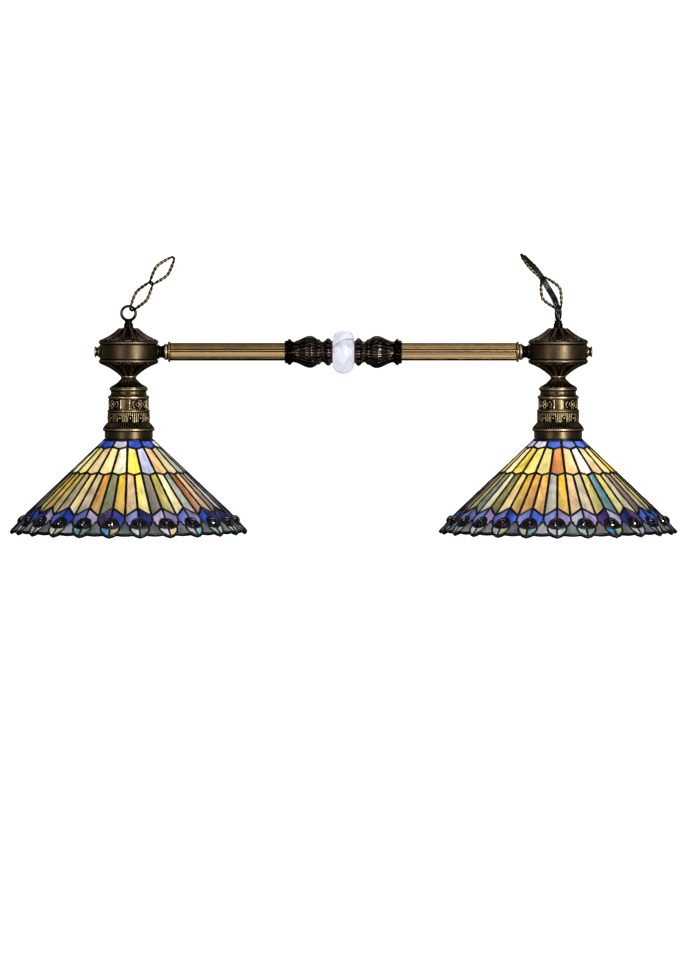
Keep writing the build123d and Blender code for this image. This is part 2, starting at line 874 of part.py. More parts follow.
def lattice_sector(rows):
    """One repeat of the lattice: a slice of the shell with every window, hole and rim bay cut."""
    end_slant = cone_length + border_length
    eye_angles = [eye_half_angle, 3 * eye_half_angle]
    seam_angles = [0, 2 * eye_half_angle, 4 * eye_half_angle]
    windows = [outline for name in ("crown_glass", "upper_glass", "long_glass") for outline in rows[name][0]]
    for angle in eye_angles:
        windows.extend(petal_tile(side, angle) for side in (-1, 1))
        windows.extend(drop_tile(side, angle) for side in (-1, 1))
    for angle in seam_angles:
        windows.extend([filler_tile(angle), rim_notch(angle)])
    with BuildPart() as sector:
        add(shade_shell(0, came_thickness, end_slant, sector_angle))
        for outline in windows:
            add(prism(outline, came_width / 2), mode=Mode.SUBTRACT)
        for angle in eye_angles:
            with Locations(eye_plane(angle)):
                Cylinder(jewel_r + glass_gap, 2 * prism_depth, mode=Mode.SUBTRACT)
    return sector.part


def lattice_part(rows):
    """Solder lattice that holds every tile and jewel, with a wavy rim."""
    with BuildPart() as lattice:
        with PolarLocations(0, sector_count):
            add(lattice_sector(rows))
    return lattice.part.fix()


def build_shades():
    """Both shades are the same. The right one is turned a little on its gallery."""
    rows = shade_rows()
    end_slant = cone_length + border_length
    glass_shell = shade_shell(glass_depth, glass_depth + glass_thickness, end_slant)
    pieces = {name: glass_row(*row, glass_shell) for name, row in rows.items()}
    pieces["shade_lattice"] = lattice_part(rows)
    right_shade_place = right_place * Location((0, 0, 0), (0, 0, right_shade_turn))
    for name, piece in pieces.items():
        place(piece, f"left_{name}", left_place)
        place(piece, f"right_{name}", right_shade_place)
    place(jewels_part(), "jewels", left_place, right_shade_place)


def build_shade_caps():
    """Flat cap that the shade's top is soldered to, and the ring nut that clamps it upwards."""
    cap_bottom_z = cap_top_z - cap_thickness
    socket_hole_r = socket_r + running_gap
    shade_cap = tube(cap_r, socket_hole_r, cap_bottom_z, cap_top_z)
    place(shade_cap, "shade_caps", left_place, right_place)
    nut_top_z = cap_bottom_z - seat_gap
    ring_nut = tube(ring_nut_r, socket_hole_r, nut_top_z - ring_nut_height, nut_top_z)
    place(ring_nut, "shade_ring_nuts", left_place, right_place)


# --- socket and bulb ----------------------------------------------------------------------------
shell_top_z = socket_cap_z - socket_cap_height - seat_gap
insulator_top_z = shell_top_z - 1.0
screw_top_z = insulator_top_z - insulator_height - seat_gap
bulb_top_z = screw_top_z - 2.0
bulb_base_bottom_z = bulb_top_z - bulb_base_length


def build_sockets():
    """Socket cap on the stem pipe's end, shell below it, porcelain body and screw shell inside."""
    inner_r = socket_r - socket_wall
    cap = turned(
        [
            (pipe_hole_r, socket_cap_z),
            (9.0, socket_cap_z),
            (socket_r, socket_cap_z - 9),
            (socket_r, socket_cap_z - socket_cap_height),
            (inner_r, socket_cap_z - socket_cap_height),
            (inner_r, socket_cap_z - 9.4),
            (8.4, socket_cap_z - 1.4),
            (8.4, socket_cap_z - 5),
            (pipe_hole_r, socket_cap_z - 5),
        ]
    )
    place(cap, "socket_caps", left_place, right_place)
    shell = tube(socket_r, inner_r, socket_bottom_z, shell_top_z)
    place(shell, "socket_shells", left_place, right_place)
    with BuildPart() as insulator:
        with BuildSketch(Plane.XY.offset(insulator_top_z - insulator_height)):
            Circle(inner_r - running_gap)
            with Locations((0, wire_spread * 4), (0, -wire_spread * 4)):
                Circle(wire_r + 0.3, mode=Mode.SUBTRACT)
        extrude(amount=insulator_height)
    place(insulator.part, "socket_insulators", left_place, right_place)
    screw_inner_r = screw_shell_r - screw_shell_wall
    screw_shell = tube(screw_shell_r, screw_inner_r, screw_top_z - screw_shell_length, screw_top_z)
    place(screw_shell, "screw_shells", left_place, right_place)


def bulb_outline():
    """Half section of the bulb's glass: neck, swell and round end."""
    neck_z = bulb_base_bottom_z - seat_gap
    centre_z = bulb_top_z - bulb_length + bulb_r
    waist_z = centre_z + 0.8 * bulb_r
    return neck_z, waist_z, centre_z


def build_bulbs():
    """Round glass bulb with a screw base and a small filament mount inside."""
    neck_z, waist_z, centre_z = bulb_outline()
    shoulder = 0.6 * bulb_r
    with BuildPart() as bulb_glass:
        with BuildSketch(Plane.XZ):
            with BuildLine():
                Line((0, neck_z), (bulb_neck_r, neck_z))
                swell = Spline(
                    (bulb_neck_r, neck_z),
                    (shoulder + 0.2 * bulb_r, waist_z),
                    (bulb_r, centre_z),
                    tangents=[(0, -1), (0, -1)],
                )
                CenterArc((0, centre_z), bulb_r, 0, -90)
                Line((0, centre_z - bulb_r), (0, neck_z))
            make_face()
        revolve(axis=Axis.Z)
        offset(amount=-bulb_wall, openings=bulb_glass.faces().sort_by(Axis.Z)[-1])
    place_pair(bulb_glass.part, "bulb_glass")
    with BuildPart() as bulb_base:
        with BuildSketch(Plane.XZ):
            Polygon(
                (0, bulb_top_z),
                (4.6, bulb_top_z),
                (7.0, bulb_top_z - 1.6),
                (bulb_base_r, bulb_top_z - 4.4),
                (bulb_base_r, bulb_base_bottom_z),
                (0, bulb_base_bottom_z),
                align=None,
            )
        revolve(axis=Axis.Z)
    place_pair(bulb_base.part, "bulb_base")
    stem_length, wire_length, spread = 30.0, 44.0, 6.0
    with BuildPart() as filament:
        with BuildSketch(Plane.XY.offset(neck_z)):
            Circle(4.0)
        extrude(amount=-stem_length, taper=3)
        with BuildSketch(Plane.XY.offset(neck_z - stem_length + 1)):
            with Locations((spread / 3, 0), (-spread / 3, 0)):
                Circle(0.5)
        extrude(amount=-(wire_length - stem_length))
        with Locations(Location((0, 0, neck_z - wire_length + 0.6), (0, 90, 0))):
            Cylinder(0.6, 2 * spread)
    place_pair(filament.part, "bulb_filament")


# --- wiring -------------------------------------------------------------------------------------
def wire_part(*points, start):
    """One insulated conductor along a smooth curve that ends by running up into a wire nut."""
    with BuildPart() as wire:
        with BuildLine() as path:
            Spline(*points, tangents=[start, (0, 0, 1)])
        with BuildSketch(Plane(origin=points[0], z_dir=start)):
            Circle(wire_r)
        sweep(path=path.line)
    return wire.part


def build_wiring():
    """Socket leads and bar wires meet under wire nuts beside the stirrup, on the bar's side."""
    nut_x, nut_y, nut_z = wire_nut_place
    nut_bore_r, nut_bore_depth = 3.6, 10.0
    nut = turned(
        [
            (0, nut_z + wire_nut_height),
            (0.7 * wire_nut_r, nut_z + wire_nut_height),
            (wire_nut_r, nut_z),
            (nut_bore_r, nut_z),
            (nut_bore_r, nut_z + nut_bore_depth),
            (0, nut_z + nut_bore_depth),
        ]
    )
    spots = []
    for column in (left_place, right_facing_left):
        spots.append(column * Location((nut_x, nut_y, 0)))
        spots.append(column * Location((nut_x, -nut_y, 0)))
    place(nut, "wire_nuts", *spots)

    wire_end = (nut_x - 1.3, nut_z + 2.0)
    lead_bottom_z = socket_cap_z - socket_cap_height + 4
    lead_bend_z = -drum_half_height + 5
    with BuildPart() as leads:
        for side in (-1, 1):
            with BuildSketch(Plane.XY.offset(lead_bottom_z)):
                with Locations((0, side * wire_spread)):
                    Circle(wire_r)
            extrude(amount=lead_bend_z - lead_bottom_z)
            add(
                wire_part(
                    (0, side * wire_spread, lead_bend_z),
                    (0.75 * nut_x, side * 0.8 * nut_y, nut_z - 11),
                    (wire_end[0], side * nut_y, wire_end[1]),
                    start=(0, 0, 1),
                )
            )
    place(leads.part, "socket_leads", left_place, right_facing_left)
    with BuildPart() as bar_wires:
        bend_x = arm_pipe_half + 1.5
        nut_side_x = column_x - nut_x - 1.3
        for side in (-1, 1):
            with BuildSketch(Plane.YZ.offset(-bend_x)):
                with Locations((side * wire_spread, 0)):
                    Circle(wire_r)
            extrude(amount=2 * bend_x)
            for end in (-1, 1):
                add(
                    wire_part(
                        (end * bend_x, side * wire_spread, 0),
                        (end * (nut_side_x - 2), side * 0.7 * nut_y, nut_z - 8),
                        (end * nut_side_x, side * nut_y, wire_end[1]),
                        start=(end, 0, 0),
                    )
                )
    place(bar_wires.part, "bar_wires", bar_place)


def build_supply_cord():
    """Three-conductor cord: up out of the right loop, then along the two right links."""
    tail_bottom_z = 6.0
    tail_top_z = loop_ring_z - 2.0
    with BuildPart() as tail:
        with BuildSketch(Plane.XY.offset(tail_bottom_z)):
            with PolarLocations(1.62, 3):
                Circle(cord_wire_r)
        extrude(amount=tail_top_z - tail_bottom_z)
    place(tail.part, "supply_cord_tail", right_place)
    planes = chain_planes()
    cord_length = link_length - 26.0
    cord_pitch = 2 * cord_wire_r
    with BuildPart() as ribbon:
        with BuildSketch(Plane.XY.offset(-cord_length / 2)):
            with Locations((-cord_pitch, 0), (0, 0), (cord_pitch, 0)):
                Circle(cord_wire_r + 0.1)
        extrude(amount=cord_length)
    place(ribbon.part, "supply_cord_lower", planes["right_lower_link"].location)
    place(ribbon.part, "supply_cord_upper", planes["right_upper_link"].location)


# --- build --------------------------------------------------------------------------------------
build_drum()
build_covers()
build_loops()
build_chain()
build_pipes()
build_neck_bell()
build_gallery()
build_glass_ring()
build_leaf_castings()
build_reeded_tubes()
build_bar_ends()
build_shade_caps()
build_sockets()
build_bulbs()
build_wiring()
build_supply_cord()
build_shades()
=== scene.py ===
"""Looks of the pool table lamp: cast and reeded brass, leaded stained glass, twisted chain, and the light.

Lengths in this script are millimetres in the row's own frame, and MM turns them into Blender's metres.
Castings are lathe grids with raised relief, wires are swept sections, and every glass tile is its own pane.
"""
import json
from math import cos, hypot, pi, radians, sin

import bpy
import numpy as np
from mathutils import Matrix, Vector


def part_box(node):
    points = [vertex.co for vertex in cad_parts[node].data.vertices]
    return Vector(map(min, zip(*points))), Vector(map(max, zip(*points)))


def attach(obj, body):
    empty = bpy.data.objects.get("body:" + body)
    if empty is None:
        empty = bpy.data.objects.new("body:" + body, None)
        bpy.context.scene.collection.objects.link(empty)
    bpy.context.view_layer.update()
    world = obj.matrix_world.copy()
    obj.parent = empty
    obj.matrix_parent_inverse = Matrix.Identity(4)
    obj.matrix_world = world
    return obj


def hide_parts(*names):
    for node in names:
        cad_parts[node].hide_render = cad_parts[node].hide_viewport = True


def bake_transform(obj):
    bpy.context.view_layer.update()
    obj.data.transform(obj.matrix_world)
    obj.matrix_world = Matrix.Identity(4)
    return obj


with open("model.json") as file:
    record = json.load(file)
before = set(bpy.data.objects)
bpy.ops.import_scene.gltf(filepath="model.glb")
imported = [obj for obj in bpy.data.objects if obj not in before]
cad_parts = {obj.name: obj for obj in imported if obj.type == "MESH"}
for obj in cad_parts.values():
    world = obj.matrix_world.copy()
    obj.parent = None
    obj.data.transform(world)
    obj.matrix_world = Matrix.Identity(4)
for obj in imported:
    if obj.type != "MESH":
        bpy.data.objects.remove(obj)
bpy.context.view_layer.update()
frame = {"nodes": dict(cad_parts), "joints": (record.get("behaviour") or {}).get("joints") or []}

MM = 0.001
SEED = 20
rng = np.random.default_rng(SEED)

# --- places taken from the frame ----------------------------------------------------------------
JOINTS = {joint["name"]: joint for joint in frame["joints"]}


def mm_box(node):
    """A CAD node's lowest and highest corners, in millimetres."""
    low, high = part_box(node)
    return np.array(low) / MM, np.array(high) / MM


def middle(node):
    low, high = mm_box(node)
    return (low + high) / 2


BAR_Z = middle("centre_glass_ring")[2]
COLUMN_X = {"left": middle("left_drum")[0], "right": middle("right_drum")[0]}
DRUM_LOW, DRUM_HIGH = mm_box("left_drum")
COVER_TOP = mm_box("left_top_cover")[1][2] - BAR_Z
BOTTOM_COVER_LOW = mm_box("left_bottom_cover")[0][2] - BAR_Z
BELL_LOW, BELL_HIGH = (corner[2] - BAR_Z for corner in mm_box("left_neck_bell"))
GALLERY_LOW, GALLERY_HIGH = (corner[2] - BAR_Z for corner in mm_box("left_gallery"))
DRUM_TOP = DRUM_HIGH[2] - BAR_Z
GALLERY_TURN = {"left": -53.5, "right": -45.5}
SHADE_TURN = {"left": 0.0, "right": 5.0}


# --- mesh helpers -------------------------------------------------------------------------------
def to_object(name, points, faces, material, smooth=True, values=None):
    """A mesh object from points in millimetres and a face list. values are named point attributes."""
    mesh = bpy.data.meshes.new(name)
    mesh.from_pydata((np.asarray(points, float) * MM).tolist(), [], faces)
    mesh.validate()
    mesh.polygons.foreach_set("use_smooth", [smooth] * len(mesh.polygons))
    for key, data in (values or {}).items():
        data = np.asarray(data, float)
        if data.ndim == 1:
            layer = mesh.attributes.new(key, "FLOAT", "POINT")
            layer.data.foreach_set("value", data)
        elif data.shape[1] == 3:
            layer = mesh.attributes.new(key, "FLOAT_VECTOR", "POINT")
            layer.data.foreach_set("vector", data.ravel())
        else:
            layer = mesh.attributes.new(key, "FLOAT_COLOR", "POINT")
            layer.data.foreach_set("color", data.ravel())
    mesh.materials.append(material)
    mesh.update()
    piece = bpy.data.objects.new(name, mesh)
    bpy.context.scene.collection.objects.link(piece)
    return piece


def settle(piece, body, slot, *nodes):
    """The piece rides on a body and stands for CAD nodes; its slot argument is not used."""
    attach(piece, body)
    if nodes:
        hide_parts(*nodes)
    return piece


def grid_faces(rows, columns, wrap_rows=True):
    """Quads over a grid of points stored row by row."""
    faces = []
    for i in range(rows if wrap_rows else rows - 1):
        a, b = i * columns, ((i + 1) % rows) * columns
        for j in range(columns):
            k = (j + 1) % columns
            faces.append((a + j, a + k, b + k, b + j))
    return faces


def spaced(points, step):
    """Points along a polyline, no further apart than step. Corners are kept."""
    out = []
    for start, end in zip(points[:-1], points[1:]):
        start, end = np.array(start, float), np.array(end, float)
        count = max(1, int(np.ceil(np.linalg.norm(end - start) / step)))
        out.extend(start + (end - start) * i / count for i in range(count))
    out.append(np.array(points[-1], float))
    return np.array(out)


def curved(points, step):
    """Points along a smooth curve through the given points."""
    given = np.array(points, float)
    padded = np.vstack([2 * given[0] - given[1], given, 2 * given[-1] - given[-2]])
    out = []
    for i in range(1, len(padded) - 2):
        a, b, c, d = padded[i - 1 : i + 3]
        count = max(2, int(np.ceil(np.linalg.norm(c - b) / step)))
        for t in np.arange(count) / count:
            m0, m1 = (c - a) / 2, (d - b) / 2
            h = 2 * t**3 - 3 * t**2 + 1, t**3 - 2 * t**2 + t, -2 * t**3 + 3 * t**2, t**3 - t**2
            out.append(h[0] * b + h[1] * m0 + h[2] * c + h[3] * m1)
    out.append(given[-1])
    return np.array(out)


def bead(centre, radius, start, end, count=8):
    """Points on an arc in an outline, between two angles in degrees."""
    angles = np.radians(np.linspace(start, end, count))
    return [(centre[0] + radius * cos(a), centre[1] + radius * sin(a)) for a in angles]


def lathe(name, outer, inner, material, axis="Z", place=(0, 0, 0), segments=360, relief=None, turn=0.0):
    """Closed turned casting. outer and inner run the same way as (radius, along) points; relief gives
    the height of the outer face above its outline from (angle, along, radius)."""
    outline = np.vstack([outer, np.array(inner, float)[::-1]])
    ahead, behind = np.roll(outline, -1, axis=0), np.roll(outline, 1, axis=0)
    tangent = ahead - behind
    length = np.maximum(np.linalg.norm(tangent, axis=1), 1e-9)
    normal = np.stack([tangent[:, 1], -tangent[:, 0]], axis=1) / length[:, None]
    probe = len(outer) // 2
    if normal[probe, 0] * (outer[probe][0] - np.mean(inner, axis=0)[0]) < 0:
        normal = -normal
    angles = np.linspace(0, 2 * pi, segments, endpoint=False)
    rows, columns = len(outline), segments
    radius = np.repeat(outline[:, 0][:, None], columns, axis=1)
    along = np.repeat(outline[:, 1][:, None], columns, axis=1)
    height = np.zeros((rows, columns))
    if relief:
        shape = relief(angles[None, :], along[: len(outer)], radius[: len(outer)])
        height[: len(outer)] = shape
    radius = radius + normal[:, 0][:, None] * height
    along = along + normal[:, 1][:, None] * height
    spin = angles[None, :] + radians(turn)
    if axis == "Z":
        points = np.stack([radius * np.cos(spin), radius * np.sin(spin), along], axis=-1)
    else:
        points = np.stack([along, radius * np.cos(spin), radius * np.sin(spin)], axis=-1)
    points = points.reshape(-1, 3) + np.array(place, float)
    low, high = height.min(), height.max()
    wear_and_painted_light = (height - low) / (high - low) if high - low > 1e-6 else np.full(height.shape, 0.7)
    brush = np.stack([angles[None, :] * outline[:, 0][:, None],
                      np.repeat(outline[:, 1][:, None], columns, 1)], -1)
    brush = np.concatenate([brush.reshape(-1, 2) * MM, np.zeros((rows * columns, 1))], axis=1)
    values = {"relief": wear_and_painted_light.ravel(), "brush": brush}
    return to_object(name, points, grid_faces(rows, columns), material, values=values)


def sweep(path, section, closed=False, twist=None, up=(0.0, 0.0, 1.0), scale=None):
    """Points and faces of a section carried along a path. section is (across, out) points; twist turns
    it by that many turns per millimetre."""
    path = np.array(path, float)
    count = len(path)
    if closed:
        tangent = np.roll(path, -1, axis=0) - np.roll(path, 1, axis=0)
    else:
        tangent = np.gradient(path, axis=0)
    tangent /= np.linalg.norm(tangent, axis=1)[:, None]
    side = np.cross(tangent[0], up)
    if np.linalg.norm(side) < 1e-3:
        side = np.cross(tangent[0], (1.0, 0.0, 0.0))
    side /= np.linalg.norm(side)
    sides = []
    for direction in tangent:
        side = side - direction * np.dot(side, direction)
        side /= np.linalg.norm(side)
        sides.append(side)
    sides = np.array(sides)
    ups = np.cross(sides, tangent)
    steps = np.linalg.norm(np.diff(path, axis=0), axis=1)
    run = np.concatenate([[0], np.cumsum(steps)])
    section = np.array(section, float)
    points = []
    for i in range(count):
        shape = section * (scale[i] if scale is not None else 1.0)
        if twist:
            angle = 2 * pi * twist * run[i]
            rotate = np.array([[cos(angle), sin(angle)], [-sin(angle), cos(angle)]])
            shape = shape @ rotate
        points.append(path[i] + shape[:, :1] * sides[i] + shape[:, 1:] * ups[i])
    columns = len(section)
    faces = grid_faces(count, columns, wrap_rows=closed)
    if not closed:
        faces.append(tuple(range(columns))[::-1])
        faces.append(tuple((count - 1) * columns + j for j in range(columns)))
    return np.vstack(points), faces


def rope_section(radius, lobes, depth, count=16):
    """Section of twisted wire: a circle pinched between its strands."""
    angles = np.linspace(0, 2 * pi, count, endpoint=False)
    r = radius * (1 - depth * (0.5 + 0.5 * np.cos(lobes * angles)))
    return np.stack([r * np.cos(angles), r * np.sin(angles)], axis=1)


def joined(parts):
    """Several (points, faces) lists as one."""
    points, faces, start = [], [], 0
    for some_points, some_faces in parts:
        points.append(some_points)
        faces.extend(tuple(i + start for i in face) for face in some_faces)
        start += len(some_points)
    return np.vstack(points), faces


# --- materials ----------------------------------------------------------------------------------
def nodes_of(name):
    """A new node material, with its tree, its shader and a function that adds a linked node."""
    material = bpy.data.materials.new(name)
    material.use_nodes = True
    tree = material.node_tree
    shader = tree.nodes["Principled BSDF"]

    def add(kind, links=None, **settings):
        node = tree.nodes.new(kind)
        for key, value in settings.items():
            if key.startswith("in_"):
                node.inputs[int(key[3:])].default_value = value
            else:
                setattr(node, key, value)
        for slot, source in (links or {}).items():
            tree.links.new(source, node.inputs[slot])
        return node

    return material, tree, shader, add


def ramp(add, source, stops):
    """Colour ramp from (position, colour) stops."""
    node = add("ShaderNodeValToRGB", {0: source})
    elements = node.color_ramp.elements
    while len(elements) < len(stops):
        elements.new(0.5)
    for element, (position, colour) in zip(elements, stops):
        element.position = position
        element.color = (*colour, 1.0)
    return node


def cast_metal(name, dark, mid, bright, rough=0.36, relief=True, brushed=0.0):
    """Cast or drawn metal with a dark wash left in its hollows, bright where it stands proud. The relief
    level it reads also carries painted light and shade on some pieces.
    """
    material, tree, shader, add = nodes_of(name)
    where = add("ShaderNodeTexCoord").outputs["Object"]
    blotch = add("ShaderNodeTexNoise", {0: where}, in_2=70.0, in_3=5.0, in_4=0.6)
    grain = add("ShaderNodeTexNoise", {0: where}, in_2=900.0, in_3=3.0)
    if relief:
        raised = add("ShaderNodeAttribute", attribute_name="relief").outputs["Fac"]
    else:
        raised = add("ShaderNodeValue").outputs[0]
        raised.default_value = 0.5
    part_blotch = add("ShaderNodeMath", {0: blotch.outputs["Fac"]}, operation="MULTIPLY_ADD", in_1=0.16,
                      in_2=-0.08)
    level = add("ShaderNodeMath", {0: raised, 1: part_blotch.outputs[0]}, operation="ADD", use_clamp=True)
    colour = ramp(add, level.outputs[0], [(0.08, dark), (0.5, mid), (0.92, bright)])
    out_colour = colour.outputs["Color"]
    bump_source = grain.outputs["Fac"]
    if brushed:
        flow = add("ShaderNodeAttribute", attribute_name="brush").outputs["Vector"]
        stretch = add("ShaderNodeMapping", {0: flow})
        stretch.inputs["Scale"].default_value = (14.0, 1500.0, 1.0)
        lines = add("ShaderNodeTexNoise", {0: stretch.outputs[0]}, in_2=1.0, in_3=3.0)
        shade = ramp(add, lines.outputs["Fac"], [(0.3, (0.62,) * 3), (0.7, (1.0,) * 3)])
        mix = add("ShaderNodeMix", data_type="RGBA", blend_type="MULTIPLY")
        mix.inputs["Factor"].default_value = brushed
        tree.links.new(out_colour, mix.inputs["A"])
        tree.links.new(shade.outputs["Color"], mix.inputs["B"])
        out_colour = mix.outputs["Result"]
        bump_source = lines.outputs["Fac"]
    tree.links.new(out_colour, shader.inputs["Base Color"])
    roughness = add("ShaderNodeMapRange", {0: blotch.outputs["Fac"]}, in_1=0.3, in_2=0.7, in_3=rough * 0.85,
                    in_4=rough * 1.2)
    tree.links.new(roughness.outputs[0], shader.inputs["Roughness"])
    shader.inputs["Metallic"].default_value = 0.95
    bump = add("ShaderNodeBump", {"Height": bump_source})
    bump.inputs["Strength"].default_value = 0.2
    bump.inputs["Distance"].default_value = 0.0001
    tree.links.new(bump.outputs[0], shader.inputs["Normal"])
    return material


def stained_glass(name, streak, glow):
    """Opalescent sheet glass: each pane's own tint, with wispy streaks, seeds and a rippled face. The tint
    also glows as a painted backlight standing in for the bulbs' light through the glass.
    """
    material, tree, shader, add = nodes_of(name)
    tint = add("ShaderNodeAttribute", attribute_name="tint").outputs["Color"]
    flow = add("ShaderNodeAttribute", attribute_name="flow").outputs["Vector"]
    stretch = add("ShaderNodeMapping", {0: flow})
    stretch.inputs["Scale"].default_value = (90.0, 22.0, 40.0)
    wisps = add("ShaderNodeTexNoise", {0: stretch.outputs[0]}, in_2=1.0, in_3=6.0, in_4=0.62, in_8=1.4)
    cloud = add("ShaderNodeTexNoise", {0: flow}, in_2=45.0, in_3=4.0)
    fine = add("ShaderNodeTexNoise", {0: flow}, in_2=420.0, in_3=4.0)
    light = ramp(add, wisps.outputs["Fac"], [(0.3, (0.5, 0.48, 0.46)), (0.48, (0.95,) * 3),
                                             (0.7, (1.22, 1.2, 1.14))])
    streaked = add("ShaderNodeMix", data_type="RGBA", blend_type="MULTIPLY")
    streaked.inputs["Factor"].default_value = streak
    tree.links.new(tint, streaked.inputs["A"])
    tree.links.new(light.outputs["Color"], streaked.inputs["B"])
    mottle = ramp(add, cloud.outputs["Fac"], [(0.36, (0.74,) * 3), (0.6, (1.06,) * 3)])
    clouded = add("ShaderNodeMix", data_type="RGBA", blend_type="MULTIPLY")
    clouded.inputs["Factor"].default_value = 0.7
    tree.links.new(streaked.outputs["Result"], clouded.inputs["A"])
    tree.links.new(mottle.outputs["Color"], clouded.inputs["B"])
    colour = clouded.outputs["Result"]
    # Painted glow: the lit colour is dimmed and the full colour is emitted, so the pane looks lit from
    # behind.
    body = add("ShaderNodeMix", data_type="RGBA", blend_type="MULTIPLY")
    body.inputs["Factor"].default_value = 1.0
    body.inputs["B"].default_value = (0.42, 0.42, 0.42, 1.0)
    tree.links.new(colour, body.inputs["A"])
    tree.links.new(body.outputs["Result"], shader.inputs["Base Color"])
    tree.links.new(colour, shader.inputs["Emission Color"])
    shader.inputs["Emission Strength"].default_value = glow
    facing = add("ShaderNodeLayerWeight", in_0=0.5).outputs["Facing"]
    dull_edge = add("ShaderNodeMapRange", {0: facing}, in_1=0.66, in_2=0.92, in_3=0.32, in_4=0.95)
    tree.links.new(dull_edge.outputs[0], shader.inputs["Roughness"])
    shader.inputs["Specular IOR Level"].default_value = 0.35
    bump = add("ShaderNodeBump", {"Height": fine.outputs["Fac"]})
    bump.inputs["Strength"].default_value = 0.2
    bump.inputs["Distance"].default_value = 0.0004
    tree.links.new(bump.outputs[0], shader.inputs["Normal"])
    return material


def plain_stuff(name, colour, rough, metal=0.0, variation=0.25, scale=220.0, bump_depth=0.0001):
    """A simple finish with fine mottling: plastic, porcelain, plated steel or patina."""
    material, tree, shader, add = nodes_of(name)
    where = add("ShaderNodeTexCoord").outputs["Object"]
    noise = add("ShaderNodeTexNoise", {0: where}, in_2=scale, in_3=4.0)
    low = tuple(c * (1 - variation) for c in colour)
    high = tuple(min(1.0, c * (1 + variation)) for c in colour)
    mottled = ramp(add, noise.outputs["Fac"], [(0.3, low), (0.7, high)])
    tree.links.new(mottled.outputs["Color"], shader.inputs["Base Color"])
    roughness = add("ShaderNodeMapRange", {0: noise.outputs["Fac"]}, in_1=0.3, in_2=0.7, in_3=rough * 0.8,
                    in_4=rough * 1.2)
    tree.links.new(roughness.outputs[0], shader.inputs["Roughness"])
    shader.inputs["Metallic"].default_value = metal
    bump = add("ShaderNodeBump", {"Height": noise.outputs["Fac"]})
    bump.inputs["Strength"].default_value = 0.3
    bump.inputs["Distance"].default_value = bump_depth
    tree.links.new(bump.outputs[0], shader.inputs["Normal"])
    return material


def veined_white():
    """Opal glass of the centre ring: milky, with one grey vein across it and soft clouds, a tan edge painted
    as shade where its face turns away, and a painted glow of its own.
    """
    material, tree, shader, add = nodes_of("white_opal_glass")
    where = add("ShaderNodeTexCoord").outputs["Object"]
    swirl = add("ShaderNodeTexNoise", {0: where}, in_2=34.0, in_3=4.0, in_8=1.8)
    vein = add("ShaderNodeAttribute", attribute_name="vein").outputs["Fac"]
    clouds = ramp(add, swirl.outputs["Fac"], [(0.34, (0.66, 0.68, 0.76)), (0.56, (0.86, 0.88, 0.96))])
    grey = ramp(add, vein, [(0.0, (1.0, 1.0, 1.0)), (1.0, (0.42, 0.42, 0.48))])
    edge = add("ShaderNodeLayerWeight", in_0=0.5).outputs["Facing"]
    painted_edge_shade = ramp(add, edge, [(0.72, (1.0, 1.0, 1.0)), (0.97, (0.50, 0.36, 0.26))])
    colour = clouds.outputs["Color"]
    for factor in (grey, painted_edge_shade):
        mix = add("ShaderNodeMix", data_type="RGBA", blend_type="MULTIPLY")
        mix.inputs["Factor"].default_value = 1.0
        tree.links.new(colour, mix.inputs["A"])
        tree.links.new(factor.outputs["Color"], mix.inputs["B"])
        colour = mix.outputs["Result"]
    body = add("ShaderNodeMix", data_type="RGBA", blend_type="MULTIPLY")
    body.inputs["Factor"].default_value = 1.0
    body.inputs["B"].default_value = (0.1, 0.1, 0.1, 1.0)
    tree.links.new(colour, body.inputs["A"])
    tree.links.new(body.outputs["Result"], shader.inputs["Base Color"])
    # Painted glow: the ring's colour is also emitted.
    tree.links.new(colour, shader.inputs["Emission Color"])
    shader.inputs["Emission Strength"].default_value = 0.74
    shader.inputs["Roughness"].default_value = 0.2
    shader.inputs["Coat Weight"].default_value = 0.1
    bump = add("ShaderNodeBump", {"Height": swirl.outputs["Fac"]})
    bump.inputs["Strength"].default_value = 0.15
    bump.inputs["Distance"].default_value = 0.0005
    tree.links.new(bump.outputs[0], shader.inputs["Normal"])
    return material


def jewel_glass():
    """Cut ruby glass: nearly black, with small magenta and red glints painted in as glowing cells."""
    material, tree, shader, add = nodes_of("ruby_jewel_glass")
    where = add("ShaderNodeTexCoord").outputs["Object"]
    cells = add("ShaderNodeTexVoronoi", {0: where}, in_2=330.0)
    painted_glints = ramp(add, cells.outputs["Color"], [(0.88, (0.004, 0.001, 0.003)), (0.93, (0.12, 0.004, 0.03)),
                                               (0.98, (0.8, 0.03, 0.35))])
    tree.links.new(painted_glints.outputs["Color"], shader.inputs["Base Color"])
    tree.links.new(painted_glints.outputs["Color"], shader.inputs["Emission Color"])
    shader.inputs["Emission Strength"].default_value = 0.25
    shader.inputs["Roughness"].default_value = 0.05
    shader.inputs["Coat Weight"].default_value = 1.0
    return material


def lamp_glass():
    """Inside-frosted bulb glass with a warm glow."""
    material, tree, shader, add = nodes_of("frosted_bulb_glass")
    where = add("ShaderNodeTexCoord").outputs["Object"]
    noise = add("ShaderNodeTexNoise", {0: where}, in_2=160.0, in_3=3.0)
    glow = ramp(add, noise.outputs["Fac"], [(0.3, (0.94, 0.90, 0.80)), (0.7, (1.0, 0.97, 0.90))])
    tree.links.new(glow.outputs["Color"], shader.inputs["Base Color"])
    tree.links.new(glow.outputs["Color"], shader.inputs["Emission Color"])
    shader.inputs["Emission Strength"].default_value = 0.6
    shader.inputs["Roughness"].default_value = 0.45
    return material


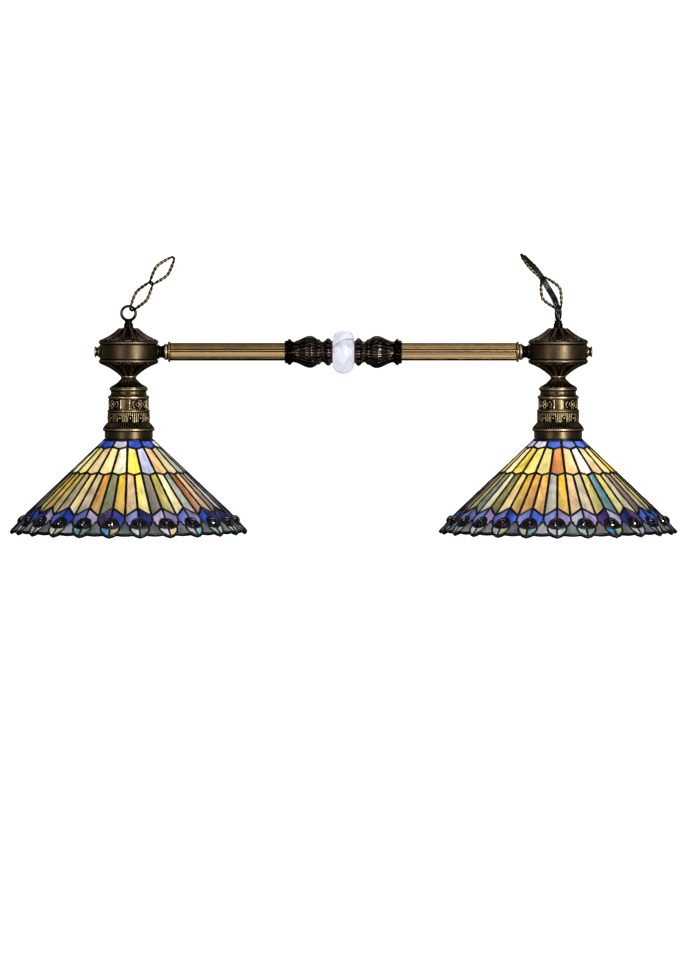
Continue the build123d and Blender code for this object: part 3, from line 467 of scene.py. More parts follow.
BRONZE = cast_metal("antique_bronze", (0.004, 0.003, 0.002), (0.080, 0.060, 0.034), (0.42, 0.335, 0.19),
                    rough=0.36)
DARK_BRONZE = cast_metal("dark_bronze", (0.003, 0.002, 0.002), (0.042, 0.027, 0.018), (0.36, 0.25, 0.16),
                         rough=0.34)
BAND_BRASS = cast_metal("antique_brass_band", (0.005, 0.004, 0.003), (0.085, 0.062, 0.038),
                        (0.46, 0.36, 0.20), rough=0.42, brushed=0.6)
LEAF_BRONZE = cast_metal("black_bronze", (0.002, 0.0015, 0.0015), (0.012, 0.009, 0.008), (0.13, 0.098, 0.08),
                         rough=0.26)
REED_BRASS = cast_metal("golden_reeded_brass", (0.005, 0.003, 0.002), (0.30, 0.205, 0.088),
                        (0.72, 0.515, 0.28), rough=0.32, brushed=0.5)
CHAIN_BRASS = cast_metal("twisted_chain_brass", (0.006, 0.004, 0.002), (0.060, 0.046, 0.021),
                         (0.27, 0.21, 0.095), rough=0.36)
LOOP_METAL = cast_metal("loop_antique_brass", (0.006, 0.005, 0.004), (0.06, 0.05, 0.038), (0.34, 0.29, 0.2),
                        rough=0.3)
PLAIN_BRASS = cast_metal("inner_brass", (0.1, 0.07, 0.03), (0.42, 0.31, 0.14), (0.6, 0.46, 0.22),
                         relief=False)
PLATED_STEEL = plain_stuff("plated_steel", (0.5, 0.5, 0.49), 0.35, metal=1.0)
BLACK_PATINA = plain_stuff("black_patina", (0.014, 0.014, 0.014), 0.42, metal=0.6, bump_depth=0.0003)
SOLDER = plain_stuff("black_solder", (0.004, 0.004, 0.005), 0.42, metal=0.15, variation=0.5, scale=130.0,
                     bump_depth=0.0006)
CORD_SKIN = plain_stuff("cord_skin", (0.003, 0.003, 0.004), 0.2, variation=0.12, scale=120.0,
                        bump_depth=0.000008)
WIRE_SKIN = plain_stuff("wire_skin", (0.04, 0.04, 0.04), 0.4)
PORCELAIN = plain_stuff("socket_porcelain", (0.86, 0.85, 0.81), 0.18, variation=0.05)
NUT_PLASTIC = plain_stuff("wire_nut_plastic", (0.6, 0.25, 0.06), 0.3)
FILAMENT = plain_stuff("filament_mount", (0.6, 0.6, 0.62), 0.25, metal=0.5)
# Both glass finishes glow: a painted backlight from the bulbs, not light passing through.
SHEET_GLASS = stained_glass("stained_sheet_glass", streak=0.75, glow=0.66)
DEEP_GLASS = stained_glass("deep_stained_glass", streak=0.75, glow=0.43)
OPAL = veined_white()
RUBY = jewel_glass()
BULB = lamp_glass()


# --- castings on the lamp axes ------------------------------------------------------------------
def rounded(distance, half_width):
    """Height from 1 to 0 of a round ridge, at a distance from its middle line."""
    return np.sqrt(np.clip(1 - (distance / half_width) ** 2, 0, 1))


def soft_step(value, low, high):
    t = np.clip((value - low) / (high - low), 0, 1)
    return t * t * (3 - 2 * t)


def around(angle, count, shift=0.0):
    """Angle from the nearest of count equal divisions, in radians."""
    pitch = 2 * pi / count
    return (angle - radians(shift) + pitch / 2) % pitch - pitch / 2


def petal_cover(rim_r, rim_z, crown_r, crown_z):
    """Relief of a cover: twelve lotus petals that open towards the crown, and a ball between each two."""
    run = hypot(rim_r - crown_r, crown_z - rim_z)

    def relief(angle, along, radius):
        slant = run * np.clip((rim_r - radius) / (rim_r - crown_r), 0, 1) + 0 * angle
        u = np.abs(around(angle, 12)) * radius
        half = 0.205 * radius
        bottom = 2.2 + half
        below = np.hypot(u, slant - bottom) - half
        side = u - half
        edge = np.where(slant < bottom, below, side)
        ridge = 1.5 * rounded(edge, 1.2)
        field = 0.62 * soft_step(-edge, 0.8, 5.5) * soft_step(run - slant, 1.0, 8.0)
        between = np.abs(around(angle, 12, 15.0)) * radius
        ball = 1.7 * rounded(np.hypot(between, slant - 3.4), 1.9)
        rib = 0.9 * rounded(between, 0.7) * soft_step(slant, 11, 16)
        edge_bead = 1.0 * rounded(slant - 0.4, 0.9)
        return np.maximum.reduce([ridge, field, ball, rib, edge_bead]) + 0 * along

    return relief


def cover(side, name, rim_r, rim_z, crown_r, crown_z, thickness, turn=0.0):
    way = 1 if crown_z > rim_z else -1
    rise = abs(crown_z - rim_z)
    heads = [(0, 0), (0.10, 0.10), (0.24, 0.20), (0.5, 0.41), (0.74, 0.66), (0.92, 0.89), (1, 1)]
    arch = [(rim_r - (rim_r - crown_r) * a, rim_z + way * rise * b) for a, b in heads]
    outer = np.vstack([spaced([(rim_r, rim_z - way * 0.9), (rim_r, rim_z)], 0.5)[:-1], curved(arch, 0.55)])
    inner = [(r - 1.2, z - way * thickness) for r, z in arch[:-1]]
    inner[0] = (rim_r - 3.5, rim_z - way * 0.9)
    crown_inside = crown_z - way * thickness
    inner.append((crown_r - 1.0, crown_inside))
    inner.append((5.0, crown_inside))
    outer = np.vstack([outer, [(5.0, crown_z)]])
    place = (COLUMN_X[side], 0, BAR_Z)
    relief = petal_cover(rim_r, rim_z, crown_r, crown_z)
    return lathe(f"{side}_{name}_petals", outer, inner, DARK_BRONZE, place=place, segments=480, relief=relief,
                 turn=turn)


def build_drum(side):
    low, high = DRUM_LOW[2] - BAR_Z, DRUM_HIGH[2] - BAR_Z
    r = (DRUM_HIGH[0] - DRUM_LOW[0]) / 2 - 1.6
    outer = [(r - 1.5, high), (r, high)]
    outer += bead((r, high - 1.7), 1.7, 90, -60)
    outer += [(r + 0.2, high - 3.6), (r - 0.5, high - 4.2), (r - 0.5, high - 5.0), (r, high - 5.6)]
    outer += [(r + 0.1, 0), (r, low + 5.6), (r - 0.5, low + 5.0), (r - 0.5, low + 4.2), (r + 0.2, low + 3.6)]
    outer += bead((r, low + 1.7), 1.7, 60, -90)
    outer += [(r - 1.5, low)]
    outer = spaced(outer, 0.6)
    inner = [(r - 3.6, high), (r - 3.6, low)]
    place = (COLUMN_X[side], 0, BAR_Z)
    drum = lathe(f"{side}_drum_ring", outer, inner, BAND_BRASS, place=place, segments=256)
    wear_and_painted_light = np.full(len(outer) + 2, 0.42)
    height = np.append(outer[:, 1], [high, low])
    radius = np.append(outer[:, 0], [0, 0])
    wear_and_painted_light[radius > r + 0.6] = 0.72
    wear_and_painted_light[(radius < r - 0.3) & (radius > r - 0.7)] = 0.0
    wear_and_painted_light[-2:] = 0.2
    wear_and_painted_light[np.abs(height) < abs(high) - 5.8] = 0.5
    drum.data.attributes["relief"].data.foreach_set("value", np.repeat(wear_and_painted_light, 256))
    return settle(drum, "lamp_frame", "antique_brass", f"{side}_drum")


def bell_relief(angle, along, radius):
    """Twenty flutes that deepen towards the bell's foot, under a plain neck bead."""
    grow = soft_step(-along, -BELL_HIGH + 4.4, -BELL_HIGH + 9.0)
    scallop = np.abs(np.sin(10 * angle))
    foot = soft_step(-along, -BELL_LOW - 2.0, -BELL_LOW - 0.8)
    return (0.9 * (1 - scallop) ** 1.4 - 0.35 * scallop) * grow * (1 - foot) + foot * 0.5


def build_bell(side):
    foot_r = (mm_box("left_neck_bell")[1][0] - mm_box("left_neck_bell")[0][0]) / 2
    top, low = BELL_HIGH, BELL_LOW
    neck = bead((12.0, top - 1.6), 1.6, 80, -80)
    flare = [(12.2, top - 3.6), (13.6, top - 6.4), (16.2, top - 10.0), (20.2, top - 13.6),
             (foot_r - 5.5, low + 4.0),
             (foot_r - 1.4, low + 1.8), (foot_r, low + 0.6)]
    outer = np.vstack([spaced([(6.0, top), *neck], 0.6)[:-1], curved(flare, 0.6), [(foot_r, low)]])
    inner = [(5.0, top - 1.0), (8.6, top - 5.0), (12.2, low + 7.6), (foot_r - 4.5, low)]
    place = (COLUMN_X[side], 0, BAR_Z)
    bell = lathe(f"{side}_fluted_bell", outer, inner, BRONZE, place=place, segments=480, relief=bell_relief)
    angles = np.linspace(0, 2 * pi, 480, endpoint=False)[None, :]
    along = outer[:, 1][:, None]
    wear_and_painted_light = 0.30 + 0.45 * bell_relief(angles, along, outer[:, 0][:, None]) + 0 * angles
    # Painted light: the bell grows lighter towards its neck and darker near its foot, and its neck bead is
    # painted bright as a highlight. The groove under the bead stays dark and the foot lip bright.
    wear_and_painted_light = (wear_and_painted_light + 0.30 * soft_step(along, low + 6.0, top - 4.0)
            - 0.22 * (1 - soft_step(along, low + 3.0, low + 8.0)))
    wear_and_painted_light = np.where(along > top - 3.2, 0.95, wear_and_painted_light)
    wear_and_painted_light = np.where((along < top - 3.2) & (along > top - 4.2), 0.1, wear_and_painted_light)
    wear_and_painted_light = np.where(along < low + 1.2, 0.85, wear_and_painted_light)
    wear_and_painted_light = np.vstack([np.clip(wear_and_painted_light, 0, 1), np.full((len(inner), 480), 0.3)])
    bell.data.attributes["relief"].data.foreach_set("value", wear_and_painted_light.ravel())
    return settle(bell, "lamp_frame", "antique_bronze", f"{side}_neck_bell")


def rope_ridge(distance, run, half_width, height, pitch=1.9):
    """A raised cord with a twist cut into it."""
    return height * rounded(distance, half_width) * (0.78 + 0.22 * np.cos(2 * pi * run / pitch))


def gallery_relief(angle, along, radius):
    """Quatrefoil panels and scrolls on the upper band, niches with balls below, and a ribbed flare."""
    height = np.zeros(np.broadcast(angle, along).shape)
    band_r = 32.8

    # Upper band: a sunk panel every quarter turn, holding a roped quatrefoil round a ball
    in_band = soft_step(along, -95.9, -95.4) * (1 - soft_step(along, -79.6, -79.1))
    u = around(angle, 4) * band_r
    v = along + 87.4
    panel = (1 - soft_step(np.abs(u), 16.2, 16.7)) * (1 - soft_step(np.abs(v), 6.9, 7.3))
    pattern = -1.1 + 0 * u * v
    for cx, cy in ((4.5, 0), (-4.5, 0), (0, 3.6), (0, -3.6)):
        away = np.hypot(u - cx, v - cy)
        turn = np.arctan2(v - cy, u - cx)
        pattern = np.maximum(pattern, -1.1 + rope_ridge(away - 2.7, 2.7 * turn, 1.25, 2.4, 2.8))
    pattern = np.maximum(pattern, -1.1 + 2.9 * rounded(np.hypot(u, v), 1.7))
    w = np.abs(u)
    chevron = 2.4 * rounded(w - 14.2 + 0.62 * np.abs(v), 1.3) * (1 - soft_step(np.abs(v), 5.4, 6.0))
    curl = 2.1 * rounded(np.hypot(w - 9.9, np.abs(v) - 4.9), 1.5)
    tip_ball = 2.0 * rounded(np.hypot(w - 14.8, np.abs(v) - 5.2), 1.1)
    pattern = np.maximum.reduce([pattern, -1.1 + chevron, -1.1 + curl, -1.1 + tip_ball])
    # Between two panels: a plain pilaster with a raised line down each edge
    line = 0.8 * rounded(w - 18.2, 0.8)
    height += in_band * (panel * pattern + (1 - panel) * (line + 0 * v + 0.15))

    # Arcade: close upright flutes, and twelve small arched niches with a ball in each
    in_arcade = soft_step(along, -117.4, -116.6) * (1 - soft_step(along, -101.8, -101.2))
    a = around(angle, 12) * 34.4
    t = along + 109.4
    arch = np.where(t > 0, np.hypot(a, t), np.abs(a)) - 3.7
    niche = 1 - soft_step(arch, -0.6, 0.1)
    ball = 3.1 * rounded(np.hypot(a, along + 110.2), 2.3)
    surround = 0.85 * rounded(arch - 0.6, 0.8)
    flute = 0.9 * rounded(around(angle, 60) * 34.4, 1.5) - 0.15
    foot_bar = 0.8 * rounded(along + 115.8, 0.9)
    arcade = np.maximum.reduce([surround + 0 * flute, flute * (1 - niche), foot_bar + 0 * flute])
    height += in_arcade * (niche * (-1.4 + ball) + (1 - niche) * arcade)

    # Flare: short upright ribs
    in_flare = soft_step(-along, 117.6, 119.2) * (1 - soft_step(-along, 125.6, 126.6))
    rib = np.abs(around(angle, 60)) * 39.0
    height += in_flare * (1.1 * rounded(rib, 1.05) - 0.6)

    # Cove below the first ring: a shallow gadroon
    in_cove = soft_step(-along, 66.0, 67.4) * (1 - soft_step(-along, 71.0, 72.4))
    height += in_cove * 0.06 * np.cos(24 * angle)
    return height


def gallery_brightness(angle, along, radius):
    """Brightness set zone by zone before relief is counted: the rings are brightest along their crests and
    the flare stays dark.
    """
    base = np.full(along.shape, 0.34)
    for z, half in ((-62.6, 1.5), (-76.2, 2.0), (-98.6, 1.6), (-129.6, 1.9)):
        base = np.maximum(base, 0.95 * rounded(along - z, half))
    base = np.where((along < -65.2) & (along > -73.8), 0.52, base)
    base = np.where((along < -117.2) & (along > -127.0), 0.30, base)
    base = np.where((along < -101.4) & (along > -117.0), 0.24, base)
    base = np.where(along < -133.0, 0.46, base)
    base = np.where((along < -79.0) & (along > -96.0), 0.46, base)
    return base


def build_gallery(side):
    top, low = GALLERY_HIGH, GALLERY_LOW
    outer = [(30.0, top), (31.4, top), (32.2, -61.9), (32.4, -62.8), (31.8, -64.0), (30.3, -64.8),
             (29.7, -66.4),
             (29.6, -68.6), (30.2, -71.2), (31.6, -72.8), (33.6, -73.6), (34.5, -74.8), (34.7, -76.2),
             (34.4, -77.6),
             (33.4, -78.6), (32.8, -79.0), (32.8, -95.8), (33.8, -96.4), (35.2, -97.2), (35.8, -98.6),
             (35.2, -100.0),
             (34.4, -100.8), (34.4, -101.2), (34.4, -117.0), (35.6, -118.8), (37.6, -121.2), (40.2, -124.2),
             (42.2, -126.6),
             (43.1, -128.0), (43.5, -129.6), (43.1, -131.2), (41.8, -132.2), (40.2, -132.8), (40.2, -133.2),
             (40.2, low)]
    outer = spaced(outer, 0.42)
    inner = [(5.2, top), (5.2, top - 2.6), (27.6, top - 4.0), (29.6, -97.0), (31.6, -116.6), (37.4, -128.0),
             (37.6, low)]
    place = (COLUMN_X[side], 0, BAR_Z)
    segments = 720
    gallery = lathe(f"{side}_gallery_casting", outer, inner, BRONZE, place=place, segments=segments,
                    relief=gallery_relief, turn=GALLERY_TURN[side])
    angles = np.linspace(0, 2 * pi, segments, endpoint=False)[None, :]
    along, radius = outer[:, 1][:, None], outer[:, 0][:, None]
    shape = gallery_relief(angles, along + 0 * angles, radius)
    wear_and_painted_light = gallery_brightness(angles, along, radius) + np.clip(shape, -1.4, 1.5) * 0.55
    wear_and_painted_light = np.vstack([np.clip(wear_and_painted_light, 0, 1), np.full((len(inner), segments), 0.3)])
    gallery.data.attributes["relief"].data.foreach_set("value", wear_and_painted_light.ravel())
    return settle(gallery, "lamp_frame", "antique_bronze", f"{side}_gallery")


def build_loop(side):
    """Hanging eye: a stepped stem below a round cast ring."""
    body = f"{side}_loop"
    base = mm_box(f"{side}_loop")[0][2] - BAR_Z
    outer = spaced([(4.9, base), (8.6, base), (9.0, base + 0.8), (8.8, base + 2.4), (7.9, base + 3.2),
                    (7.6, base + 4.4),
                    (7.8, base + 7.6), (7.2, base + 8.8), (6.2, base + 9.6), (6.1, base + 12.0),
                    (6.6, base + 14.0)], 0.5)
    inner = [(4.9, base), (4.9, base + 9.6), (3.2, base + 10.2), (3.2, base + 14.0)]
    place = (COLUMN_X[side], 0, BAR_Z)
    stem = lathe(f"{side}_loop_stem", outer, inner, LOOP_METAL, place=place, segments=96)
    stem.data.attributes["relief"].data.foreach_set("value", np.full(len(stem.data.vertices), 0.12))
    settle(stem, body, "antique_brass", f"{side}_loop")
    joint = JOINTS[f"{side}_loop_swivel"]
    centre = np.array(joint["pos_m"]) / MM
    across = np.array([cos(radians(RING_TURN[side])), sin(radians(RING_TURN[side])), 0.0])
    angles = np.linspace(0, 2 * pi, 120, endpoint=False)
    path = centre + 11.75 * (np.cos(angles)[:, None] * across
                             + np.sin(angles)[:, None] * np.array([0, 0, 1.0]))
    swell = 1 + 0.06 * np.cos(angles + pi / 2)
    section = [(2.45 * cos(a), 2.45 * sin(a)) for a in np.linspace(0, 2 * pi, 20, endpoint=False)]
    points, faces = sweep(path, section, closed=True, up=np.cross(across, (0, 0, 1.0)), scale=swell)
    # Painted light: the ring is lighter towards its top.
    wear_and_painted_light = 0.22 + 0.25 * soft_step(points[:, 2], centre[2] - 12, centre[2] + 8)
    ring = to_object(f"{side}_loop_ring", points, faces, LOOP_METAL, values={"relief": wear_and_painted_light})
    settle(ring, body, "antique_brass", f"{side}_loop")


RING_TURN = {"left": 0.0, "right": 70.0}


# --- bar castings -------------------------------------------------------------------------------
def on_bar(name, outer, inner, material, way, segments=240, relief=None, turn=0.0):
    """A casting turned about the bar, drawn on the right half and mirrored for the left."""
    outer = np.array([(r, way * x) for r, x in outer], float)
    inner = np.array([(r, way * x) for r, x in inner], float)
    mirrored = (lambda angle, along, radius: relief(angle, way * along, radius)) if relief else None
    return lathe(name, outer, inner, material, axis="X", place=(0, 0, BAR_Z), segments=segments,
                 relief=mirrored, turn=turn)


def build_glass_ring():
    half, ring_r = 18.8, 37.0
    mid = ring_r - half
    arc = bead((0, 0), 1, 68, -68, 60)
    outer = [(mid + half * x, half * y) for x, y in arc]
    outer = [(9.0, half * 0.985), (14.0, half * 0.99)] + outer + [(14.0, -half * 0.99), (9.0, -half * 0.985)]
    inner = [(5.0, half * 0.9), (5.0, -half * 0.9)]
    glass = lathe("centre_opal_ring", spaced(outer, 0.8), inner, OPAL, axis="X", place=(0, 0, BAR_Z),
                  segments=280)
    spots = np.empty(len(glass.data.vertices) * 3)
    glass.data.vertices.foreach_get("co", spots)
    x, y, z = (spots.reshape(-1, 3) / MM - (0, 0, BAR_Z)).T
    arc = z - (23.5 + 0.34 * x - 0.022 * x * x + 0.12 * y)
    fainter = z - (-6.0 + 0.5 * x + 0.02 * x * x - 0.3 * y)
    vein = (np.exp(-((arc / 0.9) ** 2)) + 0.35 * np.exp(-((arc + 3.0) / 3.0) ** 2)
            + 0.25 * np.exp(-((fainter / 1.6) ** 2)))
    layer = glass.data.attributes.new("vein", "FLOAT", "POINT")
    layer.data.foreach_set("value", np.clip(vein, 0, 1))
    settle(glass, "lamp_frame", "white_glass", "centre_glass_ring")


def leaf_relief(angle, along, radius):
    """Five long acanthus leaves with smaller ones between them, a roped bead, and a saw-edged ring."""
    height = np.zeros(np.broadcast(angle, along).shape)
    t = np.clip((along - 43.2) / 42.0, 0, 1)
    for shift, width, rise, blunt in ((0.0, 12.0, 1.2, 0.6), (36.0, 7.0, 0.5, 0.9)):
        u = around(angle, 5, shift) * radius
        half = width * np.sin(pi * np.clip(0.06 + 0.9 * t, 0, 1) ** blunt) ** 0.7
        lobes = 1 + 0.16 * np.cos(2 * pi * (3.5 * t + 0.04 * np.abs(u)))
        inside = soft_step(half * lobes - np.abs(u), 0.0, 1.6)
        rib = 1.3 * rounded(u, 2.0) * (1 - 0.4 * t)
        # veins leave the rib at its foot and sweep out towards the leaf's edge
        spread = np.abs(u) / (0.30 * half + 2.6) + 1.1 * t
        vein = 0.55 * np.abs(np.cos(pi * spread)) ** 1.3 * soft_step(np.abs(u), 1.6, 4.0)
        height = np.maximum(height, inside * (rise + np.maximum(vein, rib)))
    bead_ropes = (along > 21.8) & (along < 28.8)
    height = height + np.where(bead_ropes, 0.12 * np.cos(18 * (angle + along * 0.06)), 0)
    collar = (along > 30.0) & (along < 40.0)
    height = height + np.where(collar, 0.08 * np.cos(24 * angle), 0)
    saw = (along > 85.6) & (along < 91.0)
    return height + np.where(saw, 1.5 * (np.abs(np.cos(9 * angle)) - 0.5), 0)


def build_leaf_casting(side, way):
    outer = [(16.5, 18.9), (17.6, 21.4)]
    outer += [(18.6, 22.2), (20.4, 23.2), (21.4, 25.2), (20.4, 27.4), (18.4, 28.7)]
    outer += [(16.4, 31.0), (15.2, 34.0), (15.2, 36.8), (16.8, 39.2), (18.9, 40.2), (19.8, 41.5),
              (19.2, 43.2)]
    outer += [(20.8, 45.6), (23.6, 49.6), (25.2, 53.4), (25.2, 57.6), (23.8, 62.6), (21.2, 68.2),
              (18.6, 73.6), (16.6, 79.0),
              (15.8, 83.0), (16.6, 85.4), (19.2, 87.8), (21.4, 89.5), (20.8, 90.8), (18.6, 92.0),
              (18.0, 93.0), (18.2, 96.2)]
    outer = spaced(outer, 0.55)
    inner = [(5.2, 18.9), (5.2, 96.2)]
    turn = 184 if side == "left" else 190
    leaf = on_bar(f"{side}_acanthus_casting", outer, inner, LEAF_BRONZE, way, segments=480,
                  relief=leaf_relief, turn=turn)
    settle(leaf, "lamp_frame", "dark_bronze", f"{side}_leaf_casting")


def reeded_profile(angle):
    """Radius of the tube: six times a wide flat face, a groove, a narrow reed and a groove."""
    a = np.abs(around(angle, 6))
    flat = 14.35 / np.cos(np.minimum(a, radians(18)))
    reed = 13.0 + 2.1 * rounded(np.degrees(a) - 30, 5.8)
    return np.where(a < radians(18), flat, np.maximum(reed, 12.8))


def build_reeded_tube(side, way):
    segments = 360
    start, end = 96.4, 289.0
    stations = np.linspace(start, end, 120)
    angles = np.linspace(0, 2 * pi, segments, endpoint=False)
    turn = radians(201 if side == "left" else 203)
    radius = reeded_profile(angles)
    rings = [(x, radius) for x in stations] + [(end, np.full(segments, 12.0)),
                                               (start, np.full(segments, 12.0))]
    points = []
    for x, r in rings:
        spin = angles + turn
        points.append(np.stack([np.full(segments, way * x), r * np.cos(spin), BAR_Z + r * np.sin(spin)],
                               axis=1))
    points = np.vstack(points)
    wear_and_painted_light = np.clip((radius - 12.8) / 1.6, 0, 1) ** 0.8
    a = np.degrees(np.abs(around(angles, 6)))
    drawn = rng.normal(0, 1, segments)
    drawn = sum(np.roll(drawn, k) for k in range(-3, 4)) / 7
    wear_and_painted_light = np.where(a < 17.6, 0.72, wear_and_painted_light * 0.8) + 0.38 * drawn * (wear_and_painted_light > 0.3)
    # Painted shade: the tube's underside and its top are darkened, standing in for the dark surroundings they
    # would reflect.
    below = np.degrees(around(angles + turn, 1, 180.0))
    wear_and_painted_light = wear_and_painted_light * (1 - 0.92 * soft_step(below, 46, 60) * (1 - soft_step(below, 110, 125)))
    wear_and_painted_light = wear_and_painted_light * (1 - 0.6 * soft_step(-below, 30, 70) * (1 - soft_step(-below, 95, 120)))
    wear_and_painted_light = np.clip(wear_and_painted_light, 0, 1)
    wear_and_painted_light = np.tile(wear_and_painted_light, len(rings))
    brush = np.stack([points[:, 0], np.tile(angles * 14, len(rings)), 0 * points[:, 0]], axis=1) * MM
    values = {"relief": wear_and_painted_light, "brush": brush}
    tube = to_object(f"{side}_reeded_brass", points, grid_faces(len(rings), segments), REED_BRASS,
                     values=values)
    settle(tube, "lamp_frame", "golden_brass", f"{side}_reeded_tube")


def build_bar_ends():
    """Rings, spools and cap nuts of both halves."""
    spool_outline = [(12.2, 292.6), (13.4, 293.6), (13.9, 296.2), (13.3, 298.2), (11.4, 299.6), (10.2, 301.8),
                     (9.8, 304.4),
                     (10.3, 306.4), (11.6, 307.8), (12.8, 308.8), (13.0, 309.8)]
    face_x = COLUMN_X["right"] + 48.5
    cap_outline = [(5.0, face_x - 1.0), (9.0, face_x - 0.4), (9.4, face_x + 0.9), (9.0, face_x + 2.0),
                   (7.4, face_x + 2.8),
                   (7.0, face_x + 4.2), (7.6, face_x + 5.4), (8.9, face_x + 6.2), (9.3, face_x + 7.2),
                   (8.6, face_x + 8.2),
                   (5.5, face_x + 8.5), (0.6, face_x + 8.6)]
    for side, way in (("left", -1), ("right", 1)):
        edge = [(12.0, 289.1), (16.4, 289.1), (17.3, 289.7), (17.5, 290.8), (17.3, 291.9), (16.4, 292.5),
                (12.0, 292.5)]
        ring = on_bar(f"{side}_end_ring", spaced(edge, 0.6), [(5.2, 289.1), (5.2, 292.5)], BRONZE, way,
                      segments=120)
        settle(ring, "lamp_frame", "golden_brass", "tube_end_rings")
        spool = on_bar(f"{side}_spool", spaced(spool_outline, 0.5), [(5.2, 292.6), (5.2, 309.8)], BRONZE, way,
                       segments=120)
        set_worn_by_radius(spool, spool_outline, 0.5, 120, 2)
        settle(spool, "lamp_frame", "antique_brass", "arm_spools")
        cap = on_bar(f"{side}_cap_nut", spaced(cap_outline, 0.5), [(0.5, face_x - 1.0), (0.5, face_x + 8.0)],
                     BRONZE, way, 96)
        set_worn_by_radius(cap, cap_outline, 0.5, 96, 2)
        settle(cap, "lamp_frame", "antique_brass", "end_finials")


def set_worn_by_radius(piece, outline, step, segments, inner_count):
    """Flanges rub bright and the waists between them keep their dark wash."""
    radius = spaced(outline, step)[:, 0]
    level = np.clip((radius - radius.min()) / (radius.max() - radius.min()), 0, 1) ** 3
    level = np.append(level, [0.2] * inner_count)
    piece.data.attributes["relief"].data.foreach_set("value", np.repeat(level, segments))


# --- chain and cord -----------------------------------------------------------------------------
LINK_LENGTH, LINK_WIDTH, LINK_END_R, LINK_WIRE_R = 62.0, 38.0, 6.6, 1.8
LINK_REACH = LINK_LENGTH / 2 - LINK_WIRE_R
LINK_CONTACT = 2 * LINK_WIRE_R + 0.1
UP = np.array([0.0, 0.0, 1.0])


def lean(angle, out):
    """Unit vector leaning from straight up towards out."""
    return UP * cos(radians(angle)) + np.array(out, float) * sin(radians(angle))


def link_frames():
    """Each link's middle, long direction and width direction."""
    frames = {}
    inward, front, roll = (1, 0, 0), np.array([0, -1.0, 0]), radians(50)
    ring = np.array(JOINTS["left_lower_link_swing"]["pos_m"]) / MM
    lower, upper = lean(37, inward), lean(41, inward)
    end = ring + lower * 6.5
    joint = end + lower * (2 * LINK_REACH - LINK_CONTACT)
    lower_width = lean(127, inward) * cos(roll) + front * sin(roll)
    upper_width = lean(131, inward) * cos(roll) - front * sin(roll)
    frames["left_lower_link"] = (end + lower * LINK_REACH, lower, lower_width)
    frames["left_upper_link"] = (joint + upper * LINK_REACH, upper, upper_width)
    top = np.array(JOINTS["right_lower_link_swing"]["pos_m"]) / MM
    turn = radians(RING_TURN["right"])
    plane = np.array([cos(turn), sin(turn), 0])
    across = np.array([-sin(turn), cos(turn), 0])
    lower, upper = lean(30, across), lean(43, across)
    end = top - lower * (2.45 + LINK_WIRE_R + 0.1)
    joint = end + lower * (2 * LINK_REACH - LINK_CONTACT)
    frames["right_lower_link"] = (end + lower * LINK_REACH, lower, np.cross(plane, lower))
    frames["right_upper_link"] = (joint + upper * LINK_REACH, upper, plane)
    return frames


def build_links():
    """Ogee links of two wires twisted together."""
    end_centre = LINK_REACH - LINK_END_R
    half_width = LINK_WIDTH / 2 - LINK_WIRE_R
    turn = radians(60)
    arc = [(LINK_END_R * sin(a), end_centre + LINK_END_R * cos(a)) for a in np.linspace(0, turn, 9)]
    t = np.linspace(0, 1, 26)[1:, None]
    start, end = np.array(arc[-1]), np.array([half_width, 0.0])
    leave, arrive = np.array([cos(turn), -sin(turn)]) * 20, np.array([0, -1.0]) * 20
    flank = ((2 * t**3 - 3 * t**2 + 1) * start + (t**3 - 2 * t**2 + t) * leave
             + (3 * t**2 - 2 * t**3) * end + (t**3 - t**2) * arrive)
    quarter = np.vstack([arc, flank])
    below = quarter[::-1][1:] * (1, -1)
    right_side = np.vstack([quarter, below])
    outline = np.vstack([right_side, right_side[::-1][1:-1] * (-1, 1)])
    closed = np.vstack([outline, outline[:1]])
    steps = np.concatenate([[0], np.cumsum(np.linalg.norm(np.diff(closed, axis=0), axis=1))])
    even = np.linspace(0, steps[-1], 300, endpoint=False)
    flat = np.stack([np.interp(even, steps, closed[:, 0]), np.interp(even, steps, closed[:, 1])], axis=1)
    turns = round(steps[-1] / 15.0)
    section = rope_section(LINK_WIRE_R * 1.58, 2, 0.27)
    for name, (centre, direction, width) in link_frames().items():
        path = centre + flat[:, :1] * width + flat[:, 1:] * direction
        normal = np.cross(width, direction)
        slim = 1 - 0.28 * soft_step(np.abs(flat[:, 1]), end_centre - 6, end_centre + 2)
        points, faces = sweep(path, section, closed=True, twist=turns / steps[-1], up=normal, scale=slim)
        dist = np.linalg.norm(points.reshape(len(path), -1, 3) - path[:, None, :], axis=2).ravel()
        wear_and_painted_light = np.clip((dist - dist.min()) / (dist.max() - dist.min()), 0, 1)
        link = to_object(f"{name}_rope", points, faces, CHAIN_BRASS, values={"relief": wear_and_painted_light})
        settle(link, name, "chain_brass", name)


def cord_section(radius=1.95, spacing=3.8, web=58):
    """Three round conductors side by side, joined by thin webs."""
    over = []
    for centre, first, last in ((-spacing, -90, web), (0.0, -web, web), (spacing, -web, 90)):
        spread = np.radians(np.linspace(first, last, 11))
        over.extend((centre + radius * sin(a), radius * cos(a)) for a in spread)
    return over + [(x, -y) for x, y in over[::-1][1:-1]]


